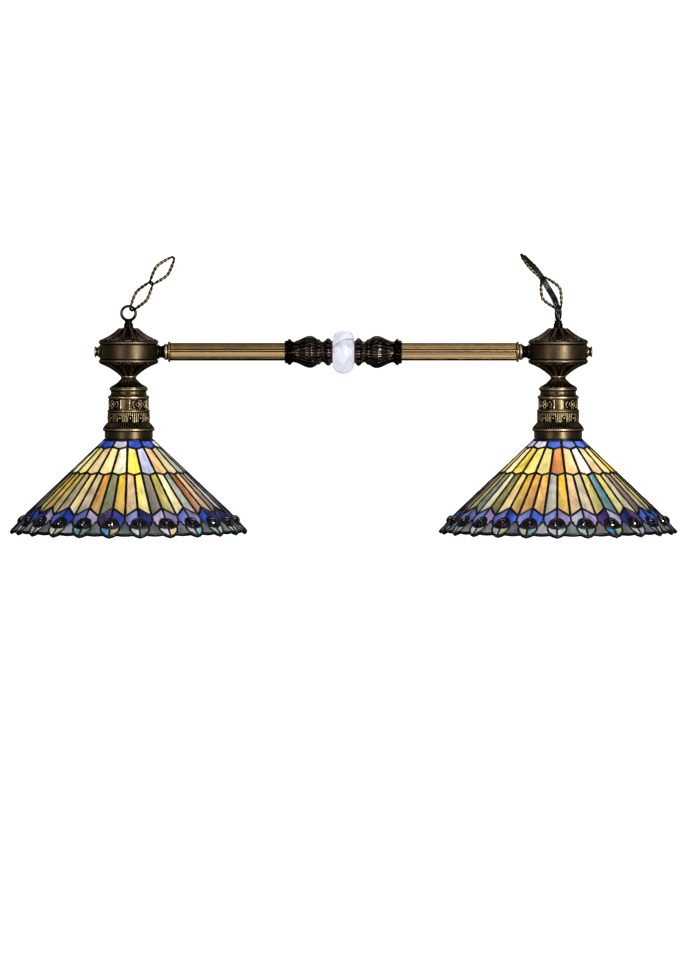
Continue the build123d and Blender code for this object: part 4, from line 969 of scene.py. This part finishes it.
def build_cord():
    """The cord rises out of the right loop and climbs through both links. It is one smooth run, drawn in
    two lengths that meet inside the lower link."""
    frames = link_frames()
    lower, upper = frames["right_lower_link"], frames["right_upper_link"]
    ring = np.array(JOINTS["right_loop_swivel"]["pos_m"]) / MM
    start = ring + (0, 0, -4)
    middle_low = lower[0] + lower[1] * 4
    top = upper[0] + upper[1] * 24
    between = (lower[0] + lower[1] * LINK_REACH + upper[0] - upper[1] * LINK_REACH) / 2
    path = curved([start, ring + (-1, -1.5, 6), lower[0] - lower[1] * 12 + (0, -2.5, 0), middle_low,
                   between + (-1.5, -3.0, 0.5), upper[0] - upper[1] * 6 + (1.5, 0, 0), top], 1.0)
    section = cord_section()
    points, _ = sweep(path, section, up=(0.6, -1.0, 0.2))
    rings = points.reshape(len(path), len(section), 3)
    cut = int(np.argmin(np.linalg.norm(path - middle_low, axis=1)))
    lengths = {"rise": (rings[: cut + 1], "right_loop", "right_lower_link", start, lower[0] - lower[1] * 8),
               "climb": (rings[cut:], "right_lower_link", "right_upper_link", middle_low,
                         upper[0] - upper[1] * 8)}
    for name, (part, below, above, bend_start, bend_end) in lengths.items():
        columns = len(section)
        faces = grid_faces(len(part), columns, wrap_rows=False)
        faces.append(tuple(range(columns))[::-1])
        faces.append(tuple((len(part) - 1) * columns + j for j in range(columns)))
        cord = to_object(f"supply_cord_{name}", part.reshape(-1, 3), faces, CORD_SKIN)
        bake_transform(cord)
        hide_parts("supply_cord_lower" if name == "rise" else "supply_cord_upper")


# --- leaded glass shades ------------------------------------------------------------------------
SHADE_TOP, SHADE_SHOULDER, SHADE_RIM = (40.0, -146.2), (168.5, -267.8), (200.4, -302.4)
CONE = np.subtract(SHADE_SHOULDER, SHADE_TOP)
BORDER = np.subtract(SHADE_RIM, SHADE_SHOULDER)
CONE_LENGTH = hypot(*CONE)
BORDER_LENGTH = hypot(*BORDER)
CONE, BORDER = CONE / CONE_LENGTH, BORDER / BORDER_LENGTH
APEX = 158.3
JEWEL_DOWN = 35.7
EYE = 7.5
GLASS_FACE = -0.8


def shade_radius(slant):
    slant = np.asarray(slant, float)
    on_cone = SHADE_TOP[0] + CONE[0] * slant
    on_border = SHADE_SHOULDER[0] + BORDER[0] * (slant - CONE_LENGTH)
    return np.where(slant <= CONE_LENGTH, on_cone, on_border)


def shade_point(slant, angle, lift):
    """Points on the shade, lifted off its outer face, from the lamp axis at the bar's height."""
    slant, angle, lift = np.broadcast_arrays(np.asarray(slant, float), np.radians(angle), lift)
    r = shade_radius(slant)
    on_cone = SHADE_TOP[1] + CONE[1] * slant
    on_border = SHADE_SHOULDER[1] + BORDER[1] * (slant - CONE_LENGTH)
    z = np.where(slant <= CONE_LENGTH, on_cone, on_border)
    mix = soft_step(slant, CONE_LENGTH - 3, CONE_LENGTH + 3)
    out_r = -CONE[1] * (1 - mix) - BORDER[1] * mix
    out_z = CONE[0] * (1 - mix) + BORDER[0] * mix
    r, z = r + out_r * lift, z + out_z * lift
    return np.stack([r * np.cos(angle), r * np.sin(angle), z], axis=-1)


def eye_curve(side, centre, spots):
    """Spots of an eye, (across, down from its tip), as (slant, angle)."""
    spots = np.array(spots, float)
    slant = APEX + spots[:, 1]
    return np.stack([slant, centre + side * np.degrees(spots[:, 0] / shade_radius(slant))], axis=1)


OUTER_CURVE = curved([(15.2, 41.0), (15.6, 45.5), (14.2, 51.0), (10.4, 56.4), (5.6, 60.0), (0, 61.8)], 1.2)
CUSP_AT = int(np.argmin(np.hypot(OUTER_CURVE[:, 0] - 10.4, OUTER_CURVE[:, 1] - 56.4)))
INNER_CURVE = curved([(15.2, 41.0), (11.2, 43.0), (5.8, 44.9), (0, 45.4)], 1.2)
BEZEL_CURVE = curved([(15.2, 41.0), (12.8, 35.6), (10.9, 30.4), (8.2, 26.6), (4.4, 24.4), (0, 23.4)], 1.2)
SIDE_CURVE = curved([(20.6, 32.0), (19.2, 37.0), (15.2, 41.0)], 1.2)


def straight(*corners):
    """(slant, angle) points along straight seams."""
    out = []
    for (s0, a0), (s1, a1) in zip(corners[:-1], corners[1:]):
        r = float(shade_radius((s0 + s1) / 2))
        length = hypot(s1 - s0, radians(a1 - a0) * r)
        count = max(2, int(np.ceil(length / 3.0)))
        t = np.arange(count)[:, None] / count
        out.append(np.array([[s0, a0]]) * (1 - t) + np.array([[s1, a1]]) * t)
    out.append(np.array([corners[-1]], float))
    return np.vstack(out)


def tile_outlines():
    """Every tile of a shade: (row, index round the row, centre angle, outline, seam curves)."""
    tiles = []
    for k in range(12):
        a = 30 * k
        seams = [straight((1.0, a), (15.4, a)), straight((15.4, a), (20.9, a + 15)),
                 straight((20.9, a + 15), (15.4, a + 30)),
                 straight((15.4, a + 30), (1.0, a + 30)), straight((1.0, a + 30), (1.0, a + 15), (1.0, a))]
        tiles.append(("crown", k, a + 15, seams, None))
    for k in range(24):
        a, up = 15 * k, k % 2 == 0
        left, right = (15.4, 20.9) if up else (20.9, 15.4)
        seams = [straight((left, a), (76.3, a)), straight((76.3, a), (81.8, a + EYE)),
                 straight((81.8, a + EYE), (76.3, a + 15)),
                 straight((76.3, a + 15), (right, a + 15)), straight((right, a + 15), (left, a))]
        tiles.append(("upper", k, a + EYE, seams, None))
    for k in range(48):
        a = 7.5 * k
        over_eye = k % 2 == 0          # its far side is the seam over an eye's tip
        head0, head1 = (76.3, 81.8) if over_eye else (81.8, 76.3)
        foot0, foot1 = (CONE_LENGTH, APEX) if over_eye else (APEX, CONE_LENGTH)
        seams = [straight((head0, a), (foot0, a)), straight((foot0, a), (foot1, a + EYE)),
                 straight((foot1, a + EYE), (head1, a + EYE)), straight((head1, a + EYE), (head0, a))]
        tiles.append(("long", k, a + EYE / 2, seams, None))
    for k in range(24):
        centre = 15 * k + EYE
        for side in (-1, 1):
            seam = centre + side * EYE
            corner = (APEX + 32.0, seam)
            seams = [straight((APEX, centre), (CONE_LENGTH, seam)), straight((CONE_LENGTH, seam), corner),
                     eye_curve(side, centre, SIDE_CURVE), eye_curve(side, centre, BEZEL_CURVE),
                     straight((APEX + 23.4, centre), (APEX, centre))]
            star = eye_curve(side, centre, [(14.6, 22.0)])[0]
            tiles.append(("petal", 2 * k + (side > 0), centre + side * 4, seams, star))
            seams = [eye_curve(side, centre, INNER_CURVE[::-1]),
                     eye_curve(side, centre, OUTER_CURVE[: CUSP_AT + 1]),
                     eye_curve(side, centre, OUTER_CURVE[CUSP_AT:]),
                     straight((APEX + 61.8, centre), (APEX + 45.4, centre))]
            star = eye_curve(side, centre, [(6.4, 53.0)])[0]
            tiles.append(("drop", 2 * k + (side > 0), centre + side * 2, seams, star))
        before = eye_curve(1, 15 * k - EYE, OUTER_CURVE[: CUSP_AT + 1])
        after = eye_curve(-1, 15 * k + EYE, OUTER_CURVE[: CUSP_AT + 1])
        top = eye_curve(1, 15 * k - EYE, SIDE_CURVE)
        top_after = eye_curve(-1, 15 * k + EYE, SIDE_CURVE)
        foot = curved([before[-1], (APEX + 58.0, 15 * k), after[-1]], 0.45)
        seams = [top, before, foot, after[::-1], top_after[::-1]]
        tiles.append(("filler", k, 15 * k, seams, np.array([APEX + 49.0, 15.0 * k])))
    return tiles


def glass_colour(rgb):
    """Linear colour from the eye's 0 to 255 levels."""
    return np.where(np.array(rgb) / 255 <= 0.04045, np.array(rgb) / 255 / 12.92,
                    ((np.array(rgb) / 255 + 0.055) / 1.055) ** 2.4)


# Each name is a sheet of glass: its main colour and the colour of its streaks
SHEETS = {
    "royal": ((48, 78, 190), (95, 125, 225)), "navy": ((38, 48, 118), (64, 74, 160)),
          "plum": ((74, 58, 124), (112, 84, 150)),
    "periwinkle": ((112, 124, 208), (150, 160, 228)), "lilac": ((168, 152, 208), (200, 184, 222)),
    "pearl": ((226, 216, 224), (206, 204, 226)), "white": ((244, 240, 236), (226, 222, 214)),
    "cream": ((244, 230, 172), (250, 240, 206)), "lemon": ((248, 224, 88), (252, 240, 150)),
          "gold": ((244, 198, 50), (226, 176, 60)),
    "honey": ((242, 208, 118), (250, 232, 168)), "peach": ((240, 214, 164), (236, 198, 144)),
          "straw": ((222, 202, 120), (200, 184, 84)),
    "sand": ((228, 210, 170), (212, 192, 150)), "amber": ((226, 164, 66), (240, 190, 96)),
          "sunset": ((226, 160, 88), (206, 110, 92)),
    "lime": ((214, 206, 84), (232, 214, 130)), "olive": ((166, 156, 76), (128, 128, 78)),
          "moss": ((140, 144, 106), (164, 158, 92)),
    "taupe": ((172, 152, 132), (140, 126, 118)), "fawn": ((156, 136, 104), (120, 100, 78)),
          "rust": ((176, 104, 60), (206, 150, 100)),
    "brown": ((104, 84, 58), (140, 118, 80)), "mist": ((190, 196, 170), (150, 168, 150)),
          "sky": ((104, 136, 188), (200, 190, 170)),
    "teal": ((92, 142, 154), (150, 190, 186)), "cyan": ((70, 140, 190), (150, 196, 206)),
          "mint": ((178, 204, 188), (206, 218, 206)),
    "sage": ((158, 178, 152), (128, 150, 136)), "khaki": ((176, 164, 118), (198, 188, 152)),
          "silver": ((206, 212, 220), (172, 184, 196)),
    "slate": ((104, 106, 116), (138, 138, 144)), "stone": ((120, 118, 122), (94, 96, 104)),
          "clay": ((132, 114, 104), (106, 102, 106)),
}
# The sheets used at the front of each shade, from its left side to its right side
FRONT = {
    ("left", "crown"): "royal royal pearl royal royal pearl",
    ("left", "upper"): "straw cream lemon peach honey cream lemon pearl peach sand mist fawn",
    ("left", "long"): "brown fawn olive straw gold straw sand honey sand amber moss gold "
                      "peach lemon taupe straw honey mist rust peach taupe pearl brown brown",
    ("left", "petal"): "navy navy royal royal navy lilac royal royal periwinkle lilac plum navy "
                       "periwinkle navy lilac lilac periwinkle lilac royal navy plum navy navy navy",
    ("left", "drop"): "silver teal pearl teal silver mint mint khaki teal sage cyan khaki "
                      "silver sage pearl sand silver teal silver mint silver teal pearl cyan",
    ("right", "crown"): "lilac pearl royal periwinkle royal royal",
    ("right", "upper"): "honey honey lemon lemon lime sunset peach white peach honey gold straw",
    ("right", "long"): "fawn taupe straw mist cream moss honey gold amber amber sky gold "
                       "peach sand straw teal lime sand taupe sand lime fawn brown fawn",
    ("right", "petal"): "royal navy lilac periwinkle periwinkle lilac periwinkle royal periwinkle royal "
                        "periwinkle lilac pearl lilac plum lilac navy plum royal royal royal navy navy navy",
    ("right", "drop"): "cyan silver cyan mint silver mint silver khaki sky teal silver mint "
                       "mint sage cyan sage mint silver cyan silver silver teal pearl cyan",
}
BACK = {
    "crown": "royal pearl royal periwinkle lilac royal",
        "upper": "honey lemon cream peach straw sand lime honey",
    "long": "sand straw taupe amber honey moss fawn peach gold olive mist",
        "petal": "navy lilac royal periwinkle plum lilac",
    "drop": "silver teal mint khaki sage cyan", "filler": "slate stone clay slate stone",
}


def sheet_for(side, row, index, count, chance):
    """The glass of a tile: chosen at the front, picked from the same sheets round the back."""
    front = FRONT.get((side, row), "").split()
    place = index - count // 2
    if front and 0 <= place < len(front):
        return SHEETS[front[place]]
    choices = BACK[row].split()
    return SHEETS[choices[chance.integers(len(choices))]]


TILES_ROUND = {"crown": 12, "upper": 24, "long": 48, "petal": 48, "drop": 48, "filler": 24}
GLASS_ROWS = {"crown": "crown_glass", "upper": "upper_glass", "long": "long_glass", "petal": "petal_glass",
              "drop": "border_glass", "filler": "border_glass"}


def pane(outline, star, row, first, second, chance):
    """One closed pane: rippled front, flat back. Returns points, faces, tints and flow."""
    centre = star if star is not None else outline.mean(axis=0)
    r_mid = shade_radius(outline[:, 0])
    x = np.radians(outline[:, 1] - centre[1]) * r_mid
    y = outline[:, 0] - centre[0]
    away = np.hypot(x, y)
    keep = np.clip(1 - 0.55 / away, 0, 1)
    x, y = x * keep, y * keep
    count = len(x)
    levels = [1.0, 0.94, 0.84, 0.7, 0.54, 0.38, 0.22]
    xs = np.concatenate([x * k for k in levels] + [[0.0]])
    ys = np.concatenate([y * k for k in levels] + [[0.0]])
    inward = np.concatenate([np.full(count, 1 - k) for k in levels] + [[1.0]])
    phases = chance.uniform(0, 2 * pi, 6)
    ripple = (0.20 * np.sin(0.42 * xs + 0.10 * ys + phases[0])
              + 0.14 * np.sin(0.9 * xs - 0.25 * ys + phases[1])
              + 0.16 * np.sin(0.33 * ys + phases[2]) + 0.08 * np.sin(0.8 * ys + 0.6 * xs + phases[3]))
    lift = GLASS_FACE + ripple * soft_step(inward, 0.0, 0.12) + 0.35 * soft_step(inward, 0, 0.4)
    slant = centre[0] + ys
    angle = centre[1] + np.degrees(xs / shade_radius(slant))
    front = shade_point(slant, angle, lift)
    back_slant = centre[0] + np.concatenate([y, y * 0.5, [0.0]])
    back_x = np.concatenate([x, x * 0.5, [0.0]])
    back = shade_point(back_slant, centre[1] + np.degrees(back_x / shade_radius(back_slant)),
                       GLASS_FACE - 2.8)
    points = np.vstack([front, back])
    faces = grid_faces(len(levels), count, wrap_rows=False)
    tip = len(levels) * count
    last = (len(levels) - 1) * count
    faces += [(last + j, last + (j + 1) % count, tip) for j in range(count)]
    start = tip + 1
    faces += [(start + j, start + (j + 1) % count, (j + 1) % count, j) for j in range(count)]
    faces += [(start + count + j, start + count + (j + 1) % count, start + (j + 1) % count,
               start + j) for j in range(count)]
    middle_back = start + 2 * count
    faces += [(start + count + (j + 1) % count, start + count + j, middle_back) for j in range(count)]
    all_x = np.concatenate([xs, back_x])
    all_y = np.concatenate([ys, back_slant - centre[0]])
    spread = max(np.ptp(x), 1.0)
    tall = max(np.ptp(y), 1.0)
    lean_to = chance.uniform(-1.0, 1.0)
    mix = 0.5 + 0.5 * np.sin(2.6 * all_x / spread + lean_to * 3.2 * all_y / tall + phases[4])
    mix = (mix * chance.uniform(0.8, 1.5))[:, None]
    tint = glass_colour(first) * (1 - mix) + glass_colour(second) * mix
    slants = centre[0] + all_y
    # Painted light: upper and long tiles are brighter near the shade's top, where the bulbs' glow is
    # strongest, and darker and greyer towards its foot.
    if row in ("upper", "long"):
        painted_glow_falloff = np.interp(slants, [16, 60, 95, 130, 165, 178], [1.04, 1.04, 0.98, 0.86, 0.72, 0.62])[:, None]
        grey = np.interp(slants, [80, 165], [0.0, 0.30])[:, None]
        tint = (tint * (1 - grey) + tint.mean(axis=1, keepdims=True) * grey) * painted_glow_falloff
    depth = {"petal": 0.8, "filler": 1.3}.get(row, 1.0)
    tint = np.clip(tint * depth * chance.uniform(0.88, 1.06), 0, 1.2)
    tints = np.hstack([tint, np.ones((len(tint), 1))])
    seed = chance.uniform(-4, 4, 3)
    flow = np.stack([all_x * MM + seed[0], all_y * MM + seed[1], np.full(len(all_x), seed[2])], axis=1)
    return points, faces, tints, flow


def build_glass(side):
    """All the panes of a shade, one piece for each row of glass."""
    chance = np.random.default_rng(SEED + (side == "right"))
    rows = {}
    for row, index, _, seams, star in tile_outlines():
        outline = np.vstack([seam[:-1] for seam in seams])
        first, second = sheet_for(side, row, index, TILES_ROUND[row], chance)
        rows.setdefault(GLASS_ROWS[row], []).append(pane(outline, star, row, first, second, chance))
    for node, panes in rows.items():
        points, faces = joined([(p, f) for p, f, _, _ in panes])
        points = on_column(points, side)
        values = {"tint": np.vstack([t for _, _, t, _ in panes]),
                  "flow": np.vstack([f for _, _, _, f in panes])}
        material = DEEP_GLASS if node in ("petal_glass", "border_glass") else SHEET_GLASS
        sheet = to_object(f"{side}_{node}_panes", points, faces, material, values=values)
        slot = {"upper_glass": "amber_glass", "long_glass": "olive_glass"}.get(node, node)
        settle(sheet, "lamp_frame", slot, f"{side}_{node}")


def on_column(points, side):
    """Points about the lamp axis, turned with the shade and moved to the column."""
    turn = radians(SHADE_TURN[side])
    x = points[:, 0] * cos(turn) - points[:, 1] * sin(turn)
    y = points[:, 0] * sin(turn) + points[:, 1] * cos(turn)
    return np.stack([x + COLUMN_X[side], y, points[:, 2] + BAR_Z], axis=1)


CAME_TOP = [(-1.0, -0.75), (-0.94, 0.0), (-0.72, 0.52), (-0.38, 0.88), (0.0, 1.0), (0.38, 0.88), (0.72, 0.52),
            (0.94, 0.0), (1.0, -0.75)]
CAME_FOOT = [(1.0, -3.9), (0.7, -4.7), (0.0, -5.1), (-0.7, -4.7), (-1.0, -3.9)]


def came(seam, half, crown, chance, closed=False):
    """A bead of solder along a seam: uneven half-round outside, flatter inside the shade."""
    seam = np.array(seam, float)
    count = len(seam)
    centre = shade_point(seam[:, 0], seam[:, 1], 0.0)
    above = shade_point(seam[:, 0], seam[:, 1], 1.0)
    normal = above - centre
    normal /= np.linalg.norm(normal, axis=1)[:, None]
    if closed:
        tangent = np.roll(centre, -1, axis=0) - np.roll(centre, 1, axis=0)
    else:
        tangent = np.gradient(centre, axis=0)
    across = np.cross(tangent, normal)
    across /= np.linalg.norm(across, axis=1)[:, None]
    wobble = chance.normal(0, 1, count)
    wobble = (wobble + np.roll(wobble, 1) + np.roll(wobble, 2)) / 3
    wide = half * (1 + 0.09 * wobble)
    tall = crown * (1 + 0.16 * np.roll(wobble, 3))
    rows = []
    for out, height in CAME_TOP + CAME_FOOT:
        lift = height * tall if height > 0 else height
        rows.append(centre + across * (out * wide)[:, None] + normal * np.broadcast_to(lift, count)[:, None])
    points = np.stack(rows, axis=1).reshape(-1, 3)
    columns = len(rows)
    faces = grid_faces(count, columns, wrap_rows=closed)
    if not closed:
        faces.append(tuple(range(columns))[::-1])
        faces.append(tuple((count - 1) * columns + j for j in range(columns)))
    return points, faces


def solder_drop(slant, angle, half, crown, chance):
    """Flattened drop of solder where seams meet."""
    base = shade_point(slant, angle, 0.0)
    normal = shade_point(slant, angle, 1.0) - base
    normal /= np.linalg.norm(normal)
    side = np.cross(normal, (0, 0, 1.0))
    side /= np.linalg.norm(side)
    up = np.cross(side, normal)
    half = half * chance.uniform(0.9, 1.12)
    points = [base + normal * crown]
    rings = [(0.45, 0.86), (0.8, 0.5), (1.0, 0.0)]
    spins = np.linspace(0, 2 * pi, 14, endpoint=False)
    for share, level in rings:
        for a in spins:
            points.append(base + (side * cos(a) + up * sin(a)) * half * share + normal * crown * level)
    for a in spins:
        points.append(base + (side * cos(a) + up * sin(a)) * half * 0.9 - normal * 4.4)
    points.append(base - normal * 5.0)
    faces = [(0, 1 + j, 1 + (j + 1) % 14) for j in range(14)]
    for k in range(3):
        a, b = 1 + 14 * k, 1 + 14 * (k + 1)
        faces += [(a + j, b + j, b + (j + 1) % 14, a + (j + 1) % 14) for j in range(14)]
    end = 1 + 14 * 3
    faces += [(end + j, len(points) - 1, end + (j + 1) % 14) for j in range(14)]
    return np.array(points), faces


def eye_plate(centre):
    """Solid solder bed round a jewel, between the petals and the teardrop."""
    outline = []
    for side in (1, -1):
        half = [eye_curve(side, centre, BEZEL_CURVE[::-1])[:-1], eye_curve(side, centre, INNER_CURVE)[:-1]]
        half = np.vstack(half)
        outline.append(half if side > 0 else half[::-1])
    outline = np.vstack([outline[0], eye_curve(1, centre, [(0, 45.4)]), outline[1][:-1]])
    middle_spot = (APEX + JEWEL_DOWN, centre)
    x = np.radians(outline[:, 1] - centre) * shade_radius(outline[:, 0])
    y = outline[:, 0] - middle_spot[0]
    count = len(x)
    points = []
    for share, lift in ((1.0, 0.2), (0.85, 0.7), (0.66, 1.0), (0.5, 1.0)):
        slant = middle_spot[0] + y * share
        points.append(shade_point(slant, centre + np.degrees(x * share / shade_radius(slant)), lift))
    for share, lift in ((0.5, -4.6), (1.0, -4.6)):
        slant = middle_spot[0] + y * share
        points.append(shade_point(slant, centre + np.degrees(x * share / shade_radius(slant)), lift))
    return np.vstack(points), grid_faces(6, count)


def build_lattice(side):
    chance = np.random.default_rng(SEED + 7 + (side == "right"))
    parts, seen, corners = [], set(), {}
    for row, index, centre, seams, star in tile_outlines():
        for seam in seams:
            key = tuple(np.round([seam[:, 0].mean(), (seam[:, 1].mean() % 360)], 1))
            near = [(key[0] + a / 10, round((key[1] + b / 10) % 360, 1))
                    for a in (-1, 0, 1) for b in (-1, 0, 1)]
            if any((round(n[0], 1), n[1]) in seen for n in near):
                continue
            seen.add(key)
            half, crown = 2.1, 1.05
            if seam[:, 0].mean() < 2:
                half, crown = 2.4, 1.4
            elif row in ("drop", "filler", "petal"):
                half, crown = 1.7, 1.15
            if row in ("drop", "filler") and seam[:, 0].min() > APEX + 56.0:
                half, crown = 1.9, 1.5
            parts.append(came(seam, half, crown, chance))
            for end in (seam[0], seam[-1]):
                corners[tuple(np.round([end[0], end[1] % 360], 1))] = (end, half)
    for end, half in corners.values():
        parts.append(solder_drop(end[0], end[1], half * 1.28, 1.25, chance))
    for k in range(24):
        centre = 15 * k + EYE
        parts.append(eye_plate(centre))
        spin = np.linspace(0, 2 * pi, 30, endpoint=False)
        spots = [(8.5 * sin(a), JEWEL_DOWN - 8.5 * cos(a)) for a in spin]
        parts.append(came(eye_curve(1, centre, spots), 1.0, 1.6, chance, closed=True))
    points, faces = joined(parts)
    lattice = to_object(f"{side}_solder_lines", on_column(points, side), faces, SOLDER)
    settle(lattice, "lamp_frame", "black_solder", f"{side}_shade_lattice")


def build_jewels():
    """Cut cabochons: rings of facets below a small table."""
    for side in ("left", "right"):
        parts = []
        for k in range(24):
            centre = 15 * k + EYE
            slant = APEX + JEWEL_DOWN
            base = shade_point(slant, centre, 0.0)
            normal = shade_point(slant, centre, 1.0) - base
            across = np.array([-sin(radians(centre)), cos(radians(centre)), 0])
            up = np.cross(normal, across)
            points, sides = [], 14
            rings = [(7.8, -3.0), (7.9, 0.8), (7.0, 3.0), (5.1, 4.8), (2.5, 5.7)]
            for level, (r, h) in enumerate(rings):
                for j in range(sides):
                    a = 2 * pi * (j + 0.5 * (level % 2)) / sides
                    points.append(base + (across * cos(a) + up * sin(a)) * r + normal * h)
            points += [base + normal * 5.8, base - normal * 3.0]
            faces = []
            for level in range(len(rings) - 1):
                a, b, shift = level * sides, (level + 1) * sides, level % 2
                for j in range(sides):
                    n = (j + 1) % sides
                    if shift:
                        faces += [(a + j, b + n, b + j), (a + j, a + n, b + n)]
                    else:
                        faces += [(a + j, a + n, b + j), (a + n, b + n, b + j)]
            last = (len(rings) - 1) * sides
            faces += [(last + j, last + (j + 1) % sides, len(points) - 2) for j in range(sides)]
            faces += [((j + 1) % sides, j, len(points) - 1) for j in range(sides)]
            parts.append((np.array(points), faces))
        points, faces = joined(parts)
        gems = to_object(f"{side}_ruby_jewels", on_column(points, side), faces, RUBY, smooth=False)
        settle(gems, "lamp_frame", "ruby_glass", "jewels")


# --- pieces -------------------------------------------------------------------------------------
for side, way in (("left", -1), ("right", 1)):
    build_drum(side)
    top_cover = cover(side, "top_cover", 49.0, DRUM_TOP + 0.1, 16.0, COVER_TOP, 2.2)
    settle(top_cover, "lamp_frame", "dark_bronze", f"{side}_top_cover")
    low_cover = cover(side, "bottom_cover", 49.0, -DRUM_TOP - 0.1, 12.6, BOTTOM_COVER_LOW, 2.2)
    settle(low_cover, "lamp_frame", "dark_bronze", f"{side}_bottom_cover")
    build_bell(side)
    build_gallery(side)
    build_loop(side)
    build_leaf_casting(side, way)
    build_reeded_tube(side, way)
    build_glass(side)
    build_lattice(side)
build_glass_ring()
build_bar_ends()
build_links()
build_cord()
build_jewels()

# --- finishes of the CAD nodes that are shown as they are ----------------------------------------
FINISHES = {
    PLATED_STEEL: ["arm_pipe", "locknuts", "stem_pipes", "top_nipples", "wire_hickeys"],
    PLAIN_BRASS: ["screw_shells", "shade_ring_nuts", "socket_caps", "socket_shells"],
    BLACK_PATINA: ["shade_caps"],
    PORCELAIN: ["socket_insulators"],
    NUT_PLASTIC: ["wire_nuts"],
    WIRE_SKIN: ["bar_wires", "socket_leads"],
    CORD_SKIN: ["supply_cord_tail"],
    BULB: ["left_bulb_glass", "right_bulb_glass"],
    FILAMENT: ["left_bulb_filament", "right_bulb_filament", "left_bulb_base", "right_bulb_base"],
}
for finish, names in FINISHES.items():
    for name in names:
        mesh = frame["nodes"][name].data
        mesh.materials.clear()
        mesh.materials.append(finish)

# --- stage, light and camera --------------------------------------------------------------------
LENS_DISTANCE = 10.0
VIEW_WIDTH = 1.1425
TARGET = Vector((-0.0023, 0.0, (BAR_Z - 212.5) * MM))
ELEVATION = 2.0


def build_floor():
    """Pale round floor far below the lamp. Metal sees it darker than the camera does, as in a studio cove."""
    spins = np.linspace(0, 2 * pi, 96, endpoint=False)
    points = [(9000 * cos(a), 9000 * sin(a), -750.0) for a in spins]
    material, tree, shader, add = nodes_of("pale_floor")
    where = add("ShaderNodeTexCoord").outputs["Object"]
    noise = add("ShaderNodeTexNoise", {0: where}, in_2=2.0)
    pale = ramp(add, noise.outputs["Fac"], [(0.3, (0.06,) * 3), (0.7, (0.08,) * 3)])
    tree.links.new(pale.outputs["Color"], shader.inputs["Base Color"])
    seen = add("ShaderNodeLightPath").outputs["Is Camera Ray"]
    bright = add("ShaderNodeEmission")
    bright.inputs["Color"].default_value = (1.0, 1.0, 1.0, 1.0)
    mix = add("ShaderNodeMixShader", {0: seen, 1: shader.outputs[0], 2: bright.outputs[0]})
    tree.links.new(mix.outputs[0], tree.nodes["Material Output"].inputs["Surface"])
    floor = to_object("studio_floor", points, [tuple(range(96))], material)


def build_world():
    """White to the camera. Metal sees a bright band behind the camera and darkness above it."""
    world = bpy.data.worlds.new("studio")
    bpy.context.scene.world = world
    world.use_nodes = True
    tree = world.node_tree
    where = tree.nodes.new("ShaderNodeTexCoord")
    split = tree.nodes.new("ShaderNodeSeparateXYZ")
    tree.links.new(where.outputs["Generated"], split.inputs[0])
    band = tree.nodes.new("ShaderNodeValToRGB")
    scale = tree.nodes.new("ShaderNodeMapRange")
    scale.inputs[1].default_value, scale.inputs[2].default_value = -1.0, 1.0
    tree.links.new(split.outputs["Z"], scale.inputs[0])
    tree.links.new(scale.outputs[0], band.inputs[0])
    stops = [(0.0, 0.10), (0.38, 0.05), (0.48, 0.34), (0.53, 0.34), (0.62, 0.05), (0.82, 0.04), (1.0, 0.16)]
    while len(band.color_ramp.elements) < len(stops):
        band.color_ramp.elements.new(0.5)
    for element, (position, level) in zip(band.color_ramp.elements, stops):
        element.position = position
        element.color = (level, level * 0.98, level * 0.95, 1.0)
    room = tree.nodes["Background"]
    tree.links.new(band.outputs[0], room.inputs["Color"])
    white = tree.nodes.new("ShaderNodeBackground")
    white.inputs["Color"].default_value = (1.0, 1.0, 1.0, 1.0)
    path = tree.nodes.new("ShaderNodeLightPath")
    mix = tree.nodes.new("ShaderNodeMixShader")
    tree.links.new(path.outputs["Is Camera Ray"], mix.inputs[0])
    tree.links.new(room.outputs[0], mix.inputs[1])
    tree.links.new(white.outputs[0], mix.inputs[2])
    tree.links.new(mix.outputs[0], tree.nodes["World Output"].inputs["Surface"])


def softbox(name, azimuth, elevation, distance, width, height, energy):
    """A soft area light that faces the lamp from an azimuth (0 is the front) and an elevation."""
    light = bpy.data.lights.new(name, "AREA")
    light.shape = "RECTANGLE"
    light.size, light.size_y = width, height
    light.energy = energy
    lamp = bpy.data.objects.new(name, light)
    bpy.context.scene.collection.objects.link(lamp)
    a, e = radians(azimuth), radians(elevation)
    lamp.location = TARGET + Vector((sin(a) * cos(e), -cos(a) * cos(e), sin(e))) * distance
    lamp.rotation_euler = (TARGET - lamp.location).to_track_quat("-Z", "Y").to_euler()
    lamp.visible_camera = False


build_floor()
build_world()
softbox("key_strip", 28, 6, 3.6, 0.45, 1.6, 120)
softbox("fill_strip", -36, 6, 3.6, 0.35, 1.6, 24)
softbox("top_box", 0, 58, 3.4, 3.0, 1.2, 30)
softbox("low_card", 0, -33, 0.75, 1.3, 0.22, 0.9)
softbox("back_box", 180, 35, 3.6, 2.4, 1.6, 12)

camera = bpy.data.cameras.new("long_lens")
camera.sensor_fit = "HORIZONTAL"
camera.lens = camera.sensor_width * LENS_DISTANCE / VIEW_WIDTH
camera.clip_end = 100.0
view = bpy.data.objects.new("long_lens", camera)
bpy.context.scene.collection.objects.link(view)
rise = radians(ELEVATION)
view.location = TARGET + Vector((0.0, -cos(rise), sin(rise))) * LENS_DISTANCE
view.rotation_euler = (TARGET - view.location).to_track_quat("-Z", "Y").to_euler()
bpy.context.scene.camera = view
bpy.context.scene.view_settings.view_transform = "Standard"
bpy.context.scene.view_settings.look = "Medium High Contrast"
